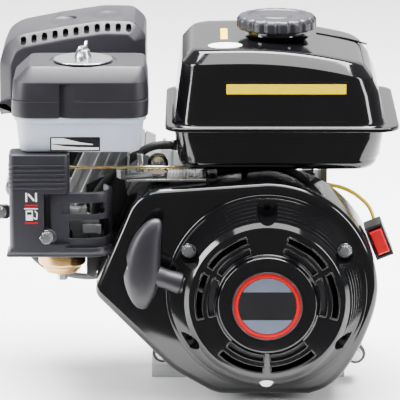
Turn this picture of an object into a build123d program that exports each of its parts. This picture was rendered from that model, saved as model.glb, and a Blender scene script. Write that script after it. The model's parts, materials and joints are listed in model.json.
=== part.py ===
from build123d import *
import os
from math import cos, radians, sin, tan

# Small single-cylinder overhead-valve petrol engine with a horizontal shaft.
# Millimetres.  +Z is up, +Y points along the crankshaft to the power take-off,
# -Y is the recoil-starter side and -X is the cylinder side.
# The crankshaft axis is at X = 0.  Y = 0 is the middle of the base bolts.

# ---------------------------------------------------------------- dimensions
CRANK_Z = 106.0            # height of the crankshaft axis above the base
CYLINDER_TILT = 25.0       # rise of the cylinder axis above the horizontal
BORE_R = 34.0
THROW = 27.0               # half of the 54 mm stroke
ROD_LENGTH = 88.0
DECK = 148.0               # crank axis to the top of the barrel
GASKET = 1.5
HEAD_TOP = 200.0           # crank axis to the top of the cylinder head
ROCKER_TOP = 252.0         # crank axis to the end of the rocker cover
ROCKER_T = (-46.0, 34.0)   # rocker cover, square to the cylinder axis

FOOT_X = (-96.5, 65.5)     # base bolt columns
FOOT_Y = (-37.75, 37.75)   # base bolt rows
FOOT_HOLE_R = 4.5
CASE_Y = (-50.0, 62.0)     # crankcase casting along the crankshaft
CASE_R = 66.0              # round crank chamber outside
WALL = 8.0                 # casting wall
PTO_Y = 75.0               # power take-off face
PTO_CIRCLE_R = 46.05       # four tapped holes, 92.1 mm circle
PTO_TAP_R = 3.45           # 5/16-24 tapping size
SHAFT_R = 9.525            # 3/4 inch output shaft
SHAFT_END = 135.0
JOURNAL_R = 12.5
WEB_R = 45.0               # crank webs
RUN_GAP = 0.05             # running clearance of a journal
KEY_W = 4.76

CAM_T = -54.0              # camshaft, square to the cylinder axis
PUSHROD_T = -41.0
PUSHROD_Y = 7.0
CAM_GEAR_R = 35.8
CRANK_GEAR_R = 17.8

COVER_FRONT = -135.0       # fan cover
COVER_REAR = -64.0
COVER_R = 102.4
COVER_WALL = 2.2
RECOIL_R = 92.5
RECOIL_FRONT = -178.0
HUB_FRONT = -184.0
RECOIL_BOLT_R = 82.0
RECOIL_BOLTS = (30, 150, 270)
RECOIL_BOSSES = (30, 90, 150, 210, 270, 330)
BADGE_R = 31.5
FLYWHEEL_R = 84.0

TANK_X = (-85.0, 108.0)    # tank body at the seam
TANK_Y = (-124.0, 52.0)
SEAM_Z = 256.0
TANK_FLOOR = 216.0
TANK_TOP = 327.0
SHEET = 1.2                # pressed steel sheet
FLANGE_X = (-93.0, 121.0)
FLANGE_Y = (-129.0, 57.0)
TANK_OUTLET = (-70.0, 229.0)   # Y and Z of the spout in the left wall
CAP_XY = (10.0, -38.0)
CAP_R = 37.0
CAP_Z = (333.5, 346.0)

CLEANER_X = (-233.0, -108.0)
CLEANER_Y = (-134.0, -48.0)
CLEANER_Z = (240.0, 269.0, 314.0)
STUD_XY = (-168.0, -92.0)
AIR_XY = (-185.0, -120.0)      # air passage from the cleaner into the elbow
AIR_R = 8.0

CARB_X = -189.0
CARB_Z = 150.0
CARB_Y = (-100.0, -58.0)
BOWL_Y = -82.0
BOWL_R = 20.5

MUFFLER_X = (-250.0, -112.0)
MUFFLER_Y = (0.0, 92.0)
MUFFLER_Z = (246.0, 330.0)

PULL_ANGLE = 18.0          # rope leaves the starter this far above level
OUTLET = (-77.0, -160.0, 120.0)

SWITCH_ANGLE = 21.5        # place of the stop switch on the fan cover rim
SWITCH_AXIS = (112.0, -104.0)

PLUG_HOLE_R = 9.2          # oil filler threads
PLUG_YZ = (34.0, 36.0)
GOV_XY = (-50.0, -57.0)
GOV_R = 3.0
ROD_Y = -90.0
ROD_Z = 212.6
LEVER_XY = (-100.0, -100.0)
LEVER_Z = 208.4


# ------------------------------------------------------------------- helpers
def box(x0, x1, y0, y1, z0, z1):
    return Pos((x0 + x1) / 2, (y0 + y1) / 2, (z0 + z1) / 2) * Box(x1 - x0, y1 - y0, z1 - z0)


def ycyl(r, y0, y1, x=0.0, z=CRANK_Z):
    return Pos(x, (y0 + y1) / 2, z) * Rot(90, 0, 0) * Cylinder(r, y1 - y0)


def xcyl(r, x0, x1, y, z):
    return Pos((x0 + x1) / 2, y, z) * Rot(0, 90, 0) * Cylinder(r, x1 - x0)


def zcyl(r, z0, z1, x=0.0, y=0.0):
    return Pos(x, y, (z0 + z1) / 2) * Cylinder(r, z1 - z0)


def along_y(sketch, y0, y1):
    """Extrude a sketch drawn in X and Z from y0 to y1."""
    return Pos(0, y1, 0) * extrude(Plane.XZ * sketch, amount=y1 - y0, dir=(0, -1, 0))


def around_crank(points):
    """Turn a closed outline of (radius, y) points about the crankshaft axis."""
    return Pos(0, 0, CRANK_Z) * revolve(make_face(Polyline(*points, close=True)), Axis.Y)


def ring(r0, r1, a0, a1):
    """Flat ring sector between two angles, drawn about the crankshaft axis."""
    far = r1 * 3
    middle = (a0 + a1) / 2
    wedge = Polygon((0, 0), *[(far * cos(radians(a)), far * sin(radians(a))) for a in (a0, middle, a1)],
                    align=None)
    return (Circle(r1) - Circle(r0)) & wedge


def rounded(x0, x1, y0, y1, z, r):
    return Pos((x0 + x1) / 2, (y0 + y1) / 2, z) * RectangleRounded(x1 - x0, y1 - y0, r)


def tapered(bottom, top):
    """Loft between two rounded rectangles."""
    return loft([rounded(*bottom), rounded(*top)])


def polar(radius, angle):
    return radius * cos(radians(angle)), CRANK_Z + radius * sin(radians(angle))


def group(solids):
    """Several separate solids of one kind that share a node."""
    return Compound(children=[piece for item in solids for piece in item.solids()])


def bolt_y(x, z, face, tip, head_r=5.5, head=5.0, shank_r=2.9, side=-1):
    """Flange bolt along Y with its head standing on a face; side -1 faces -Y."""
    low, high = sorted((face, face + side * head))
    rim = sorted((face, face + side * 1.4))
    shank = sorted((face, tip))
    hexagon = along_y(Pos(x, z) * RegularPolygon(head_r, 6), low, high)
    return hexagon + ycyl(head_r + 1.2, rim[0], rim[1], x, z) + ycyl(shank_r, shank[0], shank[1], x, z)


def bolt_z(x, y, face, tip, head_r=5.5, head=5.0, shank_r=2.9):
    hexagon = Pos(x, y, face) * extrude(RegularPolygon(head_r, 6), amount=head)
    return hexagon + zcyl(head_r + 1.2, face, face + 1.4, x, y) + zcyl(shank_r, tip, face, x, y)


def bends(points):
    """Largest even radius for each corner of a route."""
    route = [Vector(*p) for p in points]
    radii = []
    for a, b, c in zip(route, route[1:], route[2:]):
        turn = (b - a).get_angle(c - b)
        radii.append(0.45 * min((b - a).length, (c - b).length) / tan(radians(turn) / 2))
    return radii


def tube(points, r):
    """Round tube along straight runs joined by the largest arcs that fit."""
    radii = bends(points)
    print("bend radii", [round(value, 1) for value in radii])
    path = FilletPolyline(*points, radius=radii)
    start = Plane(origin=path @ 0, z_dir=path % 0)
    return sweep(start * Circle(r), path=path)


# Local frame of the cylinder: z runs along the bore, x is square to it and up.
TILTED = Pos(0, 0, CRANK_Z) * Rot(0, CYLINDER_TILT - 90, 0)


def tilted_box(t0, t1, y0, y1, s0, s1):
    return TILTED * box(t0, t1, y0, y1, s0, s1)


def tilted_xz(t, s):
    a = radians(CYLINDER_TILT)
    return t * sin(a) - s * cos(a), CRANK_Z + t * cos(a) + s * sin(a)


# ------------------------------------------------------------ crankcase group
def case_outline(grow=0.0):
    """Crank chamber and sump seen along the crankshaft."""
    chamber = Pos(0, CRANK_Z) * Circle(CASE_R + grow)
    sump = Pos(-5, 58) * Rectangle(150 + 2 * grow, 100 + 2 * grow)
    return chamber + sump


def make_crankcase():
    y0, y1 = CASE_Y
    body = along_y(case_outline(), y0, y1)
    body += box(FOOT_X[0] - 10, FOOT_X[1] + 10, -53, 53, 0, 12)
    body += tilted_box(-46, 46, -44, 44, 50, DECK)
    for s in range(72, int(DECK) - 6, 11):
        body += tilted_box(-52, 52, -49.5, 49.5, s, s + 3)
    body += tilted_box(-52, 52, -49.5, 49.5, DECK - 9, DECK)
    body += ycyl(24, -60, y0)
    body -= along_y(case_outline(-WALL), y0 + WALL, y1)
    body -= TILTED * zcyl(BORE_R + 0.04, 30, DECK + 1)
    for y in (-PUSHROD_Y, PUSHROD_Y):
        body -= TILTED * zcyl(3, 20, DECK + 1, PUSHROD_T, y)
    body -= ycyl(20, -60.5, y0 + WALL + 1)
    for x in FOOT_X:
        for y in FOOT_Y:
            body -= zcyl(FOOT_HOLE_R, -1, 13, x, y)
    body -= xcyl(PLUG_HOLE_R, -90, -60, *PLUG_YZ) + xcyl(PLUG_HOLE_R, 55, 80, *PLUG_YZ)
    body += box(-58, -42, -63, y0, 120, 146)
    body += box(-96, -78, COVER_REAR, y0 + 6, 22, 34) + box(68, 85, COVER_REAR, y0 + 6, 21, 33)
    for x, z in FAN_LUGS:
        body += ycyl(8, COVER_REAR, y0 + 6, x, z)
        body -= ycyl(3, COVER_REAR - 1, COVER_REAR + 11, x, z)
    body -= zcyl(GOV_R + 0.05, 126, 147, *GOV_XY)
    return body


def make_side_cover():
    y1 = CASE_Y[1]
    cover = along_y(case_outline(), y1, y1 + 8)
    cover += ycyl(54, y1 + 8, PTO_Y)
    cover -= ycyl(20, y1 - 1, PTO_Y + 1)
    cover -= ycyl(26, PTO_Y - 5, PTO_Y + 1)
    for angle in (45, 135, 225, 315):
        x, z = polar(PTO_CIRCLE_R, angle)
        cover -= ycyl(PTO_TAP_R, y1 + 1, PTO_Y + 1, x, z)
    x, z = tilted_xz(CAM_T, 0)
    cover -= ycyl(7, y1 - 1, y1 + 5, x, z)
    for x, z in SIDE_BOLTS:
        cover -= ycyl(3, y1 - 1, y1 + 9, x, z)
    return cover


SIDE_BOLTS = ((-74, 100), (-74, 60), (-60, 14), (-10, 14), (50, 14), (64, 60), (64, 100))


def make_side_cover_bolts():
    y1 = CASE_Y[1]
    return group([bolt_y(x, z, y1 + 8, y1 + 0.5, side=1) for x, z in SIDE_BOLTS])


def bearing(y0, y1):
    """Ball bearing drawn as a grooved ring."""
    race = ycyl(20, y0, y1) - ycyl(JOURNAL_R + RUN_GAP, y0 - 1, y1 + 1)
    groove = ycyl(17.6, y1 - 1, y1 + 1) - ycyl(15.4, y1 - 2, y1 + 2)
    return race - groove


def make_main_bearings():
    return group([bearing(-53, -40), bearing(62, 70)])


def make_oil_seals():
    front = ycyl(20, -60, -54) - ycyl(JOURNAL_R + RUN_GAP, -61, -53)
    rear = ycyl(26, PTO_Y - 5, PTO_Y - 0.5) - ycyl(JOURNAL_R + RUN_GAP, PTO_Y - 6, PTO_Y)
    return group([front, rear])


def make_head_gasket():
    plate = tilted_box(-50, 50, -48, 48, DECK, DECK + GASKET)
    plate -= TILTED * zcyl(BORE_R + 1, DECK - 1, DECK + 3)
    for y in (-PUSHROD_Y, PUSHROD_Y):
        plate -= TILTED * zcyl(3, DECK - 1, DECK + 3, PUSHROD_T, y)
    for t, y in HEAD_BOLTS:
        plate -= TILTED * zcyl(3.2, DECK - 1, DECK + 3, t, y)
    return plate


HEAD_BOLTS = ((-40, -41), (-40, 41), (43, -41), (43, 41))
PLUG_T, PLUG_S, PLUG_Y, PLUG_LEAN = -40.0, 172.0, 24.0, -40.0


def plug_frame():
    return TILTED * Pos(PLUG_T, PLUG_Y, PLUG_S) * Rot(0, PLUG_LEAN, 0)


def make_cylinder_head():
    s0 = DECK + GASKET
    head = tilted_box(-46, 46, -46, 46, s0, HEAD_TOP)
    for s in range(int(s0) + 8, int(HEAD_TOP) - 8, 9):
        head += tilted_box(-52, 52, -49.5, 49.5, s, s + 3)
    head += tilted_box(-52, 52, -49.5, 49.5, s0, s0 + 5)
    head += tilted_box(-51, 48, -47.5, 47.5, HEAD_TOP - 6, HEAD_TOP)
    head -= TILTED * zcyl(BORE_R - 3, s0 - 1, s0 + 7)
    head += ycyl(17, -50, -40, CARB_X + 6, CARB_Z)
    head -= ycyl(9.5, -51, -25, CARB_X + 6, CARB_Z)
    x, z = tilted_xz(8, 172)
    head += ycyl(18, 40, 54, x, z)
    head -= ycyl(11, 20, 55, x, z)
    for y in (-PUSHROD_Y, PUSHROD_Y):
        head -= TILTED * zcyl(3, s0 - 1, HEAD_TOP + 1, PUSHROD_T, y)
    head -= tilted_box(-80, 60, -60, 60, HEAD_TOP, HEAD_TOP + 40)
    head -= plug_frame() * zcyl(8.2, -12, 60)
    for t, y in HEAD_BOLTS:
        head -= TILTED * zcyl(3.2, s0 - 1, HEAD_TOP + 1, t, y)
    return head


def make_head_bolts():
    pieces = []
    for t, y in HEAD_BOLTS:
        pieces.append(TILTED * bolt_z(t, y, HEAD_TOP, DECK + GASKET + 2, head_r=5, shank_r=3.15))
    return group(pieces)


ROCKER_Y = 31.5
COVER_BOLTS = ((-6, -39), (-6, 39))


def make_rocker_cover():
    t0, t1 = ROCKER_T
    wide = t1 - t0
    middle = TILTED * Pos((t0 + t1) / 2, 0, 0)
    cover = Box(wide, 2 * ROCKER_Y, ROCKER_TOP - HEAD_TOP, align=(Align.CENTER, Align.CENTER, Align.MIN))
    cover = fillet(cover.edges().filter_by(Axis.Z), 14)
    cover = fillet(cover.edges().group_by(Axis.Z)[-1], 9)
    inner = extrude(RectangleRounded(wide - 5, 2 * ROCKER_Y - 5, 11), amount=ROCKER_TOP - HEAD_TOP - 3)
    flange = extrude(RectangleRounded(wide + 4, 2 * ROCKER_Y + 5, 12), amount=3)
    for t, y in COVER_BOLTS:
        flange += zcyl(7, 0, 3, t - (t0 + t1) / 2, y)
    cover = cover + flange - inner
    for t, y in COVER_BOLTS:
        cover -= zcyl(3.2, -1, 5, t - (t0 + t1) / 2, y)
    return middle * Pos(0, 0, HEAD_TOP) * cover


def make_cover_screws():
    return group([TILTED * bolt_z(t, y, HEAD_TOP + 3, HEAD_TOP + 0.2, head_r=4.5) for t, y in COVER_BOLTS])


def make_valve_train():
    """Two valves with springs, rocker arms and pushrods."""
    pieces = []
    low = HEAD_TOP + 0.2
    for y in (-PUSHROD_Y, PUSHROD_Y):
        pieces.append(TILTED * zcyl(2.2, 50, HEAD_TOP + 27.8, PUSHROD_T, y))
        arm = tilted_box(PUSHROD_T - 2, 8, y - 4, y + 4, HEAD_TOP + 28, HEAD_TOP + 35)
        pivot = TILTED * zcyl(3, low, HEAD_TOP + 28, -14, y)
        pieces.append(arm + pivot + TILTED * zcyl(2.7, low, HEAD_TOP + 28, 4, y))
        spring = TILTED * (zcyl(8, low, HEAD_TOP + 24, 4, y) - zcyl(5.5, HEAD_TOP, HEAD_TOP + 24.2, 4, y))
        pieces.append(spring)
    return group(pieces)


def make_piston():
    crown = THROW + ROD_LENGTH + 30
    piston = TILTED * zcyl(BORE_R - 0.06, crown - 52, crown)
    piston -= TILTED * zcyl(BORE_R - 5, crown - 53, crown - 9)
    for s in (4, 9, 14):
        groove = zcyl(BORE_R + 1, crown - s - 1.6, crown - s)
        piston -= TILTED * (groove - zcyl(BORE_R - 2.4, crown - s - 2, crown - s + 1))
    pin = TILTED * Pos(0, 0, THROW + ROD_LENGTH) * Rot(90, 0, 0) * Cylinder(9.05, 70)
    return piston - pin


def make_piston_pin():
    pin = TILTED * Pos(0, 0, THROW + ROD_LENGTH) * Rot(90, 0, 0) * Cylinder(9, 62)
    return pin - TILTED * Pos(0, 0, THROW + ROD_LENGTH) * Rot(90, 0, 0) * Cylinder(5.5, 70)


def make_connecting_rod():
    def eye(s, r, width):
        return TILTED * Pos(0, 0, s) * Rot(90, 0, 0) * Cylinder(r, width)

    rod = eye(THROW, 22, 18) + eye(THROW + ROD_LENGTH, 14, 18)
    rod += tilted_box(-8, 8, -5, 5, THROW, THROW + ROD_LENGTH)
    return rod - eye(THROW, 15.1, 30) - eye(THROW + ROD_LENGTH, 9.1, 30)


# --------------------------------------------------------------- turning parts
def make_crankshaft():
    shaft = ycyl(JOURNAL_R, -64, PTO_Y - 0.5)
    shaft += ycyl(SHAFT_R, PTO_Y - 0.5, SHAFT_END)
    shaft += ycyl(10, -106, -64) + ycyl(7, -138, -106)
    shaft += ycyl(CRANK_GEAR_R - 2, 26, 36) + ycyl(17, 36, 58)
    shaft -= ycyl(13, -9.8, 9.8)
    web = Pos(0, CRANK_Z) * Circle(WEB_R)
    for y0, y1 in ((-24, -10), (10, 24)):
        shaft += along_y(web, y0, y1)
    for y0, y1 in ((-25, -9), (9, 25)):
        for t in (-1, 1):
            shaft -= TILTED * (Pos(t * 38, (y0 + y1) / 2, 22) * Box(30, y1 - y0, 50))
    x, z = tilted_xz(0, THROW)
    shaft += ycyl(15, -10, 10, x, z)
    teeth = 24
    for k in range(teeth):
        tx, tz = polar(CRANK_GEAR_R - 1.6, 360 * k / teeth)
        shaft += ycyl(1.4, 26, 36, tx, tz)
    key_floor = CRANK_Z + SHAFT_R - 2.4
    shaft -= box(-KEY_W / 2, KEY_W / 2, PTO_Y + 12, SHAFT_END + 1, key_floor, key_floor + 4.4)
    shaft -= ycyl(PTO_TAP_R, SHAFT_END - 25, SHAFT_END + 1)
    return shaft


def make_flywheel():
    rim = ycyl(FLYWHEEL_R, -118, -84) - ycyl(FLYWHEEL_R - 13, -119, -94)
    wheel = rim + ycyl(24, -118, -72) - ycyl(10.02, -120, -60)
    return wheel


def make_cooling_fan():
    fan = ycyl(FLYWHEEL_R - 2, -121, -118.2) - ycyl(26, -122, -117)
    for k in range(16):
        spoke = Pos(0, 0, CRANK_Z) * Rot(0, 360 * k / 16, 0)
        blade = spoke * Pos(57, -125, 0) * Rot(0, 25, 0) * Box(30, 9, 2.4)
        fan += blade
    return fan


def make_starter_cup():
    cup = ycyl(37, -150, -121.4) - ycyl(35, -151, -123.4) - ycyl(7.2, -130, -120)
    for k in range(6):
        x, z = polar(36, 60 * k + 30)
        cup -= ycyl(5, -145, -131, x, z)
    return cup


def make_flywheel_nut():
    nut = along_y(Pos(0, CRANK_Z) * RegularPolygon(13, 6), -133, -123.6)
    return nut - ycyl(7.05, -140, -120)


def make_camshaft():
    x, z = tilted_xz(CAM_T, 0)
    shaft = ycyl(6.95, -38, 66, x, z) + ycyl(CAM_GEAR_R - 1.6, 26, 36, x, z)
    teeth = 48
    for k in range(teeth):
        a = radians(360 * (k + 0.5) / teeth)
        shaft += ycyl(1.1, 26, 36, x + (CAM_GEAR_R - 1.4) * cos(a), z + (CAM_GEAR_R - 1.4) * sin(a))
    for y, a in ((-PUSHROD_Y, 200), (PUSHROD_Y, 300)):
        shaft += ycyl(8, y - 2.5, y + 2.5, x, z)
        shaft += ycyl(4, y - 2.5, y + 2.5, x + 7 * cos(radians(a)), z + 7 * sin(radians(a)))
    return shaft


# ------------------------------------------------------- fan cover and starter
def cover_outline(grow=0.0):
    """Blower housing seen from the starter side."""
    r = COVER_R
    top = (0, CRANK_Z + r)
    side = (r, CRANK_Z)
    floor = Line((-46, 7), (40, 7))
    corner = ThreePointArc((40, 7), (83, 45), side)
    volute = ThreePointArc(side, polar(r, 45), top)
    duct = Polyline(top, (-108, 201), (-124, 188), (-159, 104), (-86, 30), (-46, 7))
    outline = make_face(floor + corner + volute + duct)
    sharp = [v for v in outline.vertices() if v.X < -40 or v.Y < 8]
    outline = fillet(sharp, 8)
    return offset(outline, grow) if grow else outline


def make_fan_cover():
    solid = along_y(cover_outline(), COVER_FRONT, COVER_REAR)
    solid = fillet(solid.edges().group_by(Axis.Y)[0], 7)
    hollow = along_y(cover_outline(-COVER_WALL), COVER_FRONT + COVER_WALL, COVER_REAR + 1)
    hollow = fillet(hollow.edges().group_by(Axis.Y)[0], 5)
    cover = solid - hollow
    cover -= ycyl(80, COVER_FRONT - 1, COVER_FRONT + COVER_WALL + 1)
    for x, z in FAN_LUGS:
        ear = ycyl(9, COVER_REAR - 4, COVER_REAR, x, z)
        cover += ear - along_y(cover_outline(-1), COVER_REAR - 9, COVER_REAR + 9)
        cover -= ycyl(3.1, COVER_REAR - 9, COVER_REAR + 9, x, z)
    cover += along_y(Polygon(*AIR_GUIDE, align=None), COVER_REAR - 2.4, COVER_REAR - 0.6)
    for angle in RECOIL_BOLTS:
        x, z = polar(RECOIL_BOLT_R, angle)
        cover += ycyl(7, COVER_FRONT + 0.2, COVER_FRONT + 8, x, z)
        cover -= ycyl(2.95, COVER_FRONT - 1, COVER_FRONT + 9, x, z)
    return cover


FAN_LUGS = ((-96, 28), (85, 27), (-100, 211))
AIR_GUIDE = ((-127.5, 177.6), (-154.1, 113.8), (-160, 100), (-167, 104), (-167, 190), (-150, 199),
             (-131, 196), (-128.9, 182))     # sheet beside the cylinder, X and Z


def make_fan_cover_bolts():
    """Flange bolts at the three ears on the rear rim of the fan cover."""
    return group([bolt_y(x, z, COVER_REAR - 4, COVER_REAR + 10) for x, z in FAN_LUGS])


RECOIL_OUTER = ((RECOIL_R, -135.2), (RECOIL_R, -138), (89, -138.4), (75, -173), (70.5, RECOIL_FRONT),
                (47, RECOIL_FRONT), (43.5, HUB_FRONT), (0, HUB_FRONT))
RECOIL_INNER = ((0, HUB_FRONT + 2.2), (42, HUB_FRONT + 2.2), (45.5, RECOIL_FRONT + 2.2),
                (69.4, RECOIL_FRONT + 2.2), (72.8, -171), (86, -135.2))


def make_recoil_case():
    case = around_crank(RECOIL_OUTER + RECOIL_INNER)
    for angle in RECOIL_BOSSES:
        x, z = polar(RECOIL_BOLT_R, angle)
        case += ycyl(9, -142, -135.2, x, z)
        if angle in RECOIL_BOLTS:
            case -= ycyl(2.95, -150, -130, x, z) + ycyl(8, -160, -142, x, z)
    for middle in RECOIL_BOLTS:
        for start, end in ((3, 43), (-43, -3)):
            for r0, r1 in ((47.5, 54), (58.5, 65)):
                slot = Pos(0, CRANK_Z) * ring(r0, r1, middle + start, middle + end)
                case -= along_y(slot, RECOIL_FRONT - 2, RECOIL_FRONT + 6)
    x, y, z = OUTLET
    eyelet = Pos(x, y, z) * Rot(0, PULL_ANGLE - 90, 0)
    case += eyelet * Cylinder(7.5, 8)
    case -= eyelet * Cylinder(4.2, 30)
    case += ycyl(6.5, HUB_FRONT + 2, -151.3)
    return case


def make_recoil_bolts():
    pieces = []
    for angle in RECOIL_BOLTS:
        x, z = polar(RECOIL_BOLT_R, angle)
        pieces.append(bolt_y(x, z, -142, COVER_FRONT + 7))
    return group(pieces)


def make_badge():
    disc = ycyl(BADGE_R, HUB_FRONT - 1.2, HUB_FRONT)
    return fillet(disc.edges().group_by(Axis.Y)[0], 0.8)


def make_recoil_reel():
    reel = around_crank(((6.8, -156), (6.8, -178), (12, -178), (12, -174.4), (55, -174.4), (55, -172.4),
                          (44, -172),
                         (44, -162), (55, -161.6), (55, -159.6), (40, -159.6), (40, -156)))
    return reel


def make_rope_coil():
    return around_crank(((44.2, -171.8), (52, -171.8), (52, -162.2), (44.2, -162.2)))


def make_recoil_spring():
    return around_crank(((14, -179.5), (38, -179.5), (38, -175), (14, -175)))


def make_ratchet_pawls():
    pieces = []
    for angle in (60, 240):
        arm = Pos(0, 0, CRANK_Z) * Rot(0, -angle, 0) * Pos(22, -153.6, 0) * Box(12, 4, 22)
        pieces.append(fillet(arm.edges().filter_by(Axis.Y), 3))
    return group(pieces)


def make_guide_plate():
    return ycyl(14, -151.2, -150.2) - ycyl(3, -152, -149)


# The handle is drawn about its own axis: x runs out along the rope.
def handle_frame():
    return Pos(*OUTLET) * Rot(0, 180 + PULL_ANGLE, 0)


def make_starter_handle():
    stem = Pos(6.5, 0, 0) * Rot(0, 90, 0) * Cone(7, 10.5, 18, align=(Align.CENTER, Align.CENTER, Align.MIN))
    outline = Polygon((20, -28), (29, -47), (41, -43), (54, -22), (56, 0), (54, 22), (41, 43), (29, 47),
                      (20, 28), (21, 0), align=None)
    outline = fillet(outline.vertices(), 5)
    grip = along_y(outline, -13, 13)
    grip = fillet(grip.edges().group_by(Axis.Y)[0] + grip.edges().group_by(Axis.Y)[-1], 4)
    pocket = Pos(53, 0, 0) * Rot(0, 90, 0) * Cylinder(6, 16)
    bore = Pos(25, 0, 0) * Rot(0, 90, 0) * Cylinder(2.3, 60)
    return handle_frame() * (stem + Pos(-3, 0, 0) * grip - pocket - bore)


def make_starter_rope():
    """Rope end from inside the starter to its knot in the grip."""
    rope = Pos(13, 0, 0) * Rot(0, 90, 0) * Cylinder(2.2, 72)
    return handle_frame() * (rope + Pos(49.5, 0, 0) * Sphere(4.2))


# ------------------------------------------------------------------- fuel tank
def tank_upper_form(inset):
    """Upper half as a solid, drawn in by inset; its top falls to the right."""
    x0, x1 = TANK_X
    y0, y1 = TANK_Y
    i = inset
    bottom = (x0 + i, x1 - i, y0 + i, y1 - i, SEAM_Z, 22 - i)
    top = (x0 + 10 + i, x1 - 14 - i, y0 + 9 + i, y1 - 9 - i, TANK_TOP + 12, 26 - i)
    crown = Pos(0, TANK_TOP - 420 - i) * Circle(420)
    left = Polygon((-140, SEAM_Z), (12, SEAM_Z), (12, TANK_TOP - i),
                   (-40, TANK_TOP - i), (-140, TANK_TOP - 3 - i),
                   align=None)
    profile = (crown & Pos(60, SEAM_Z + 60) * Rectangle(130, 120)) + left
    return tapered(bottom, top) & along_y(profile, y0 - 10, y1 + 10)


def make_tank_upper():
    shell = tank_upper_form(0) - tank_upper_form(SHEET)
    flange = rounded(*FLANGE_X, *FLANGE_Y, SEAM_Z, 18)
    shell += extrude(flange, amount=SHEET) - extrude(rounded(TANK_X[0] + 1, TANK_X[1] - 1, TANK_Y[0] + 1,
                                                             TANK_Y[1] - 1, SEAM_Z - 1, 21), amount=4)
    return shell - zcyl(24, TANK_TOP - 20, TANK_TOP + 5, *CAP_XY)


def make_tank_lower():
    x0, x1 = TANK_X
    y0, y1 = TANK_Y
    i = SHEET
    z0 = SEAM_Z - 2 * SHEET
    outer = tapered((x0 + 5, x1 - 7, y0 + 4, y1 - 4, TANK_FLOOR, 24), (x0, x1, y0, y1, z0, 22))
    outer = fillet(outer.faces().sort_by(Axis.Z)[0].edges(), 10)
    inner = tapered((x0 + 5 + i, x1 - 7 - i, y0 + 4 + i, y1 - 4 - i, TANK_FLOOR + i, 22),
                    (x0 + i, x1 - i, y0 + i, y1 - i, z0 + 0.01, 20))
    inner = fillet(inner.faces().sort_by(Axis.Z)[0].edges(), 9)
    shell = outer - inner
    flange = rounded(FLANGE_X[0], FLANGE_X[1], FLANGE_Y[0], FLANGE_Y[1], z0, 18)
    hole = rounded(x0 + 1, x1 - 1, y0 + 1, y1 - 1, z0 - 1, 21)
    shell += extrude(flange, amount=2 * SHEET) - extrude(hole, amount=2 * SHEET + 2)
    y, z = TANK_OUTLET
    return shell + xcyl(5, -86, -78, y, z) - xcyl(3, -90, -70, y, z)


def make_filler_neck():
    neck = zcyl(26, TANK_TOP - 2.2, CAP_Z[0] + 1, *CAP_XY) - zcyl(21, TANK_TOP - 20, CAP_Z[0] + 4, *CAP_XY)
    neck += zcyl(23.8, TANK_TOP - 12, TANK_TOP - 2.2, *CAP_XY) - zcyl(21, TANK_TOP - 20, TANK_TOP, *CAP_XY)
    crown = tank_upper_form(0) + box(-200, 200, -200, 200, SEAM_Z - 40, TANK_TOP - 25)
    return neck - crown + (zcyl(23.8, TANK_TOP - 12, TANK_TOP - 1, *CAP_XY)
                           - zcyl(21, TANK_TOP - 20, TANK_TOP, *CAP_XY))


def make_fuel_cap():
    z0, z1 = CAP_Z
    cap = zcyl(CAP_R, z0, z1, *CAP_XY)
    cap = fillet(cap.edges().group_by(Axis.Z)[-1], 3)
    for k in range(18):
        a = radians(20 * k)
        x = CAP_XY[0] + (CAP_R + 0.9) * cos(a)
        y = CAP_XY[1] + (CAP_R + 0.9) * sin(a)
        cap -= zcyl(2.2, z0 - 1, z1 + 1, x, y)
    cap -= zcyl(26.6, z0 - 1, z0 + 4.3, *CAP_XY)
    cap -= zcyl(24, z1 - 1, z1 + 1, *CAP_XY) - zcyl(12, z1 - 2, z1 + 2, *CAP_XY)
    return cap


def make_cap_gasket():
    z0 = CAP_Z[0]
    return zcyl(26, z0 + 1.3, z0 + 4, *CAP_XY) - zcyl(19, z0, z0 + 5, *CAP_XY)


def make_tank_bracket():
    """Pressed saddle between the crankcase and the tank."""
    saddle = box(-60, 84, -40, 44, 209, TANK_FLOOR - 0.01)
    saddle += box(-24, -18, -40, 44, 175, 209) + box(52, 58, -40, 44, 172, 209)
    saddle += box(-24, 58, -40, 44, CRANK_Z + 66, CRANK_Z + 72)
    for x, y in TANK_BOLTS:
        saddle -= zcyl(3, CRANK_Z + 60, CRANK_Z + 75, x, y)
    return saddle


TANK_BOLTS = ((-8, -28), (-8, 28), (42, -28), (42, 28))


def make_tank_bolts():
    return group([bolt_z(x, y, CRANK_Z + 72, CRANK_Z + 70) for x, y in TANK_BOLTS])


# --------------------------------------------------------- air cleaner, intake
def make_cleaner_base():
    x0, x1 = CLEANER_X
    y0, y1 = CLEANER_Y
    z0, z1, _ = CLEANER_Z
    base = tapered((x0 + 8, x1 - 8, y0 + 5, y1 - 5, z0, 14), (x0 + 3, x1 - 3, y0 + 2, y1 - 2, z1, 16))
    base -= tapered((x0 + 11, x1 - 11, y0 + 8, y1 - 8, z0 + 3, 12),
                    (x0 + 6, x1 - 6, y0 + 5, y1 - 5, z1 + 1, 14))
    base += zcyl(AIR_R + 2.5, z0 - 9, z0 + 12, *AIR_XY)
    base -= zcyl(AIR_R, z0 - 10, z0 + 13, *AIR_XY)
    return base + zcyl(5, z0, z0 + 6, *STUD_XY)


def make_cleaner_stud():
    return zcyl(3, CLEANER_Z[0] + 6, CLEANER_Z[2] + 13, *STUD_XY)


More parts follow.
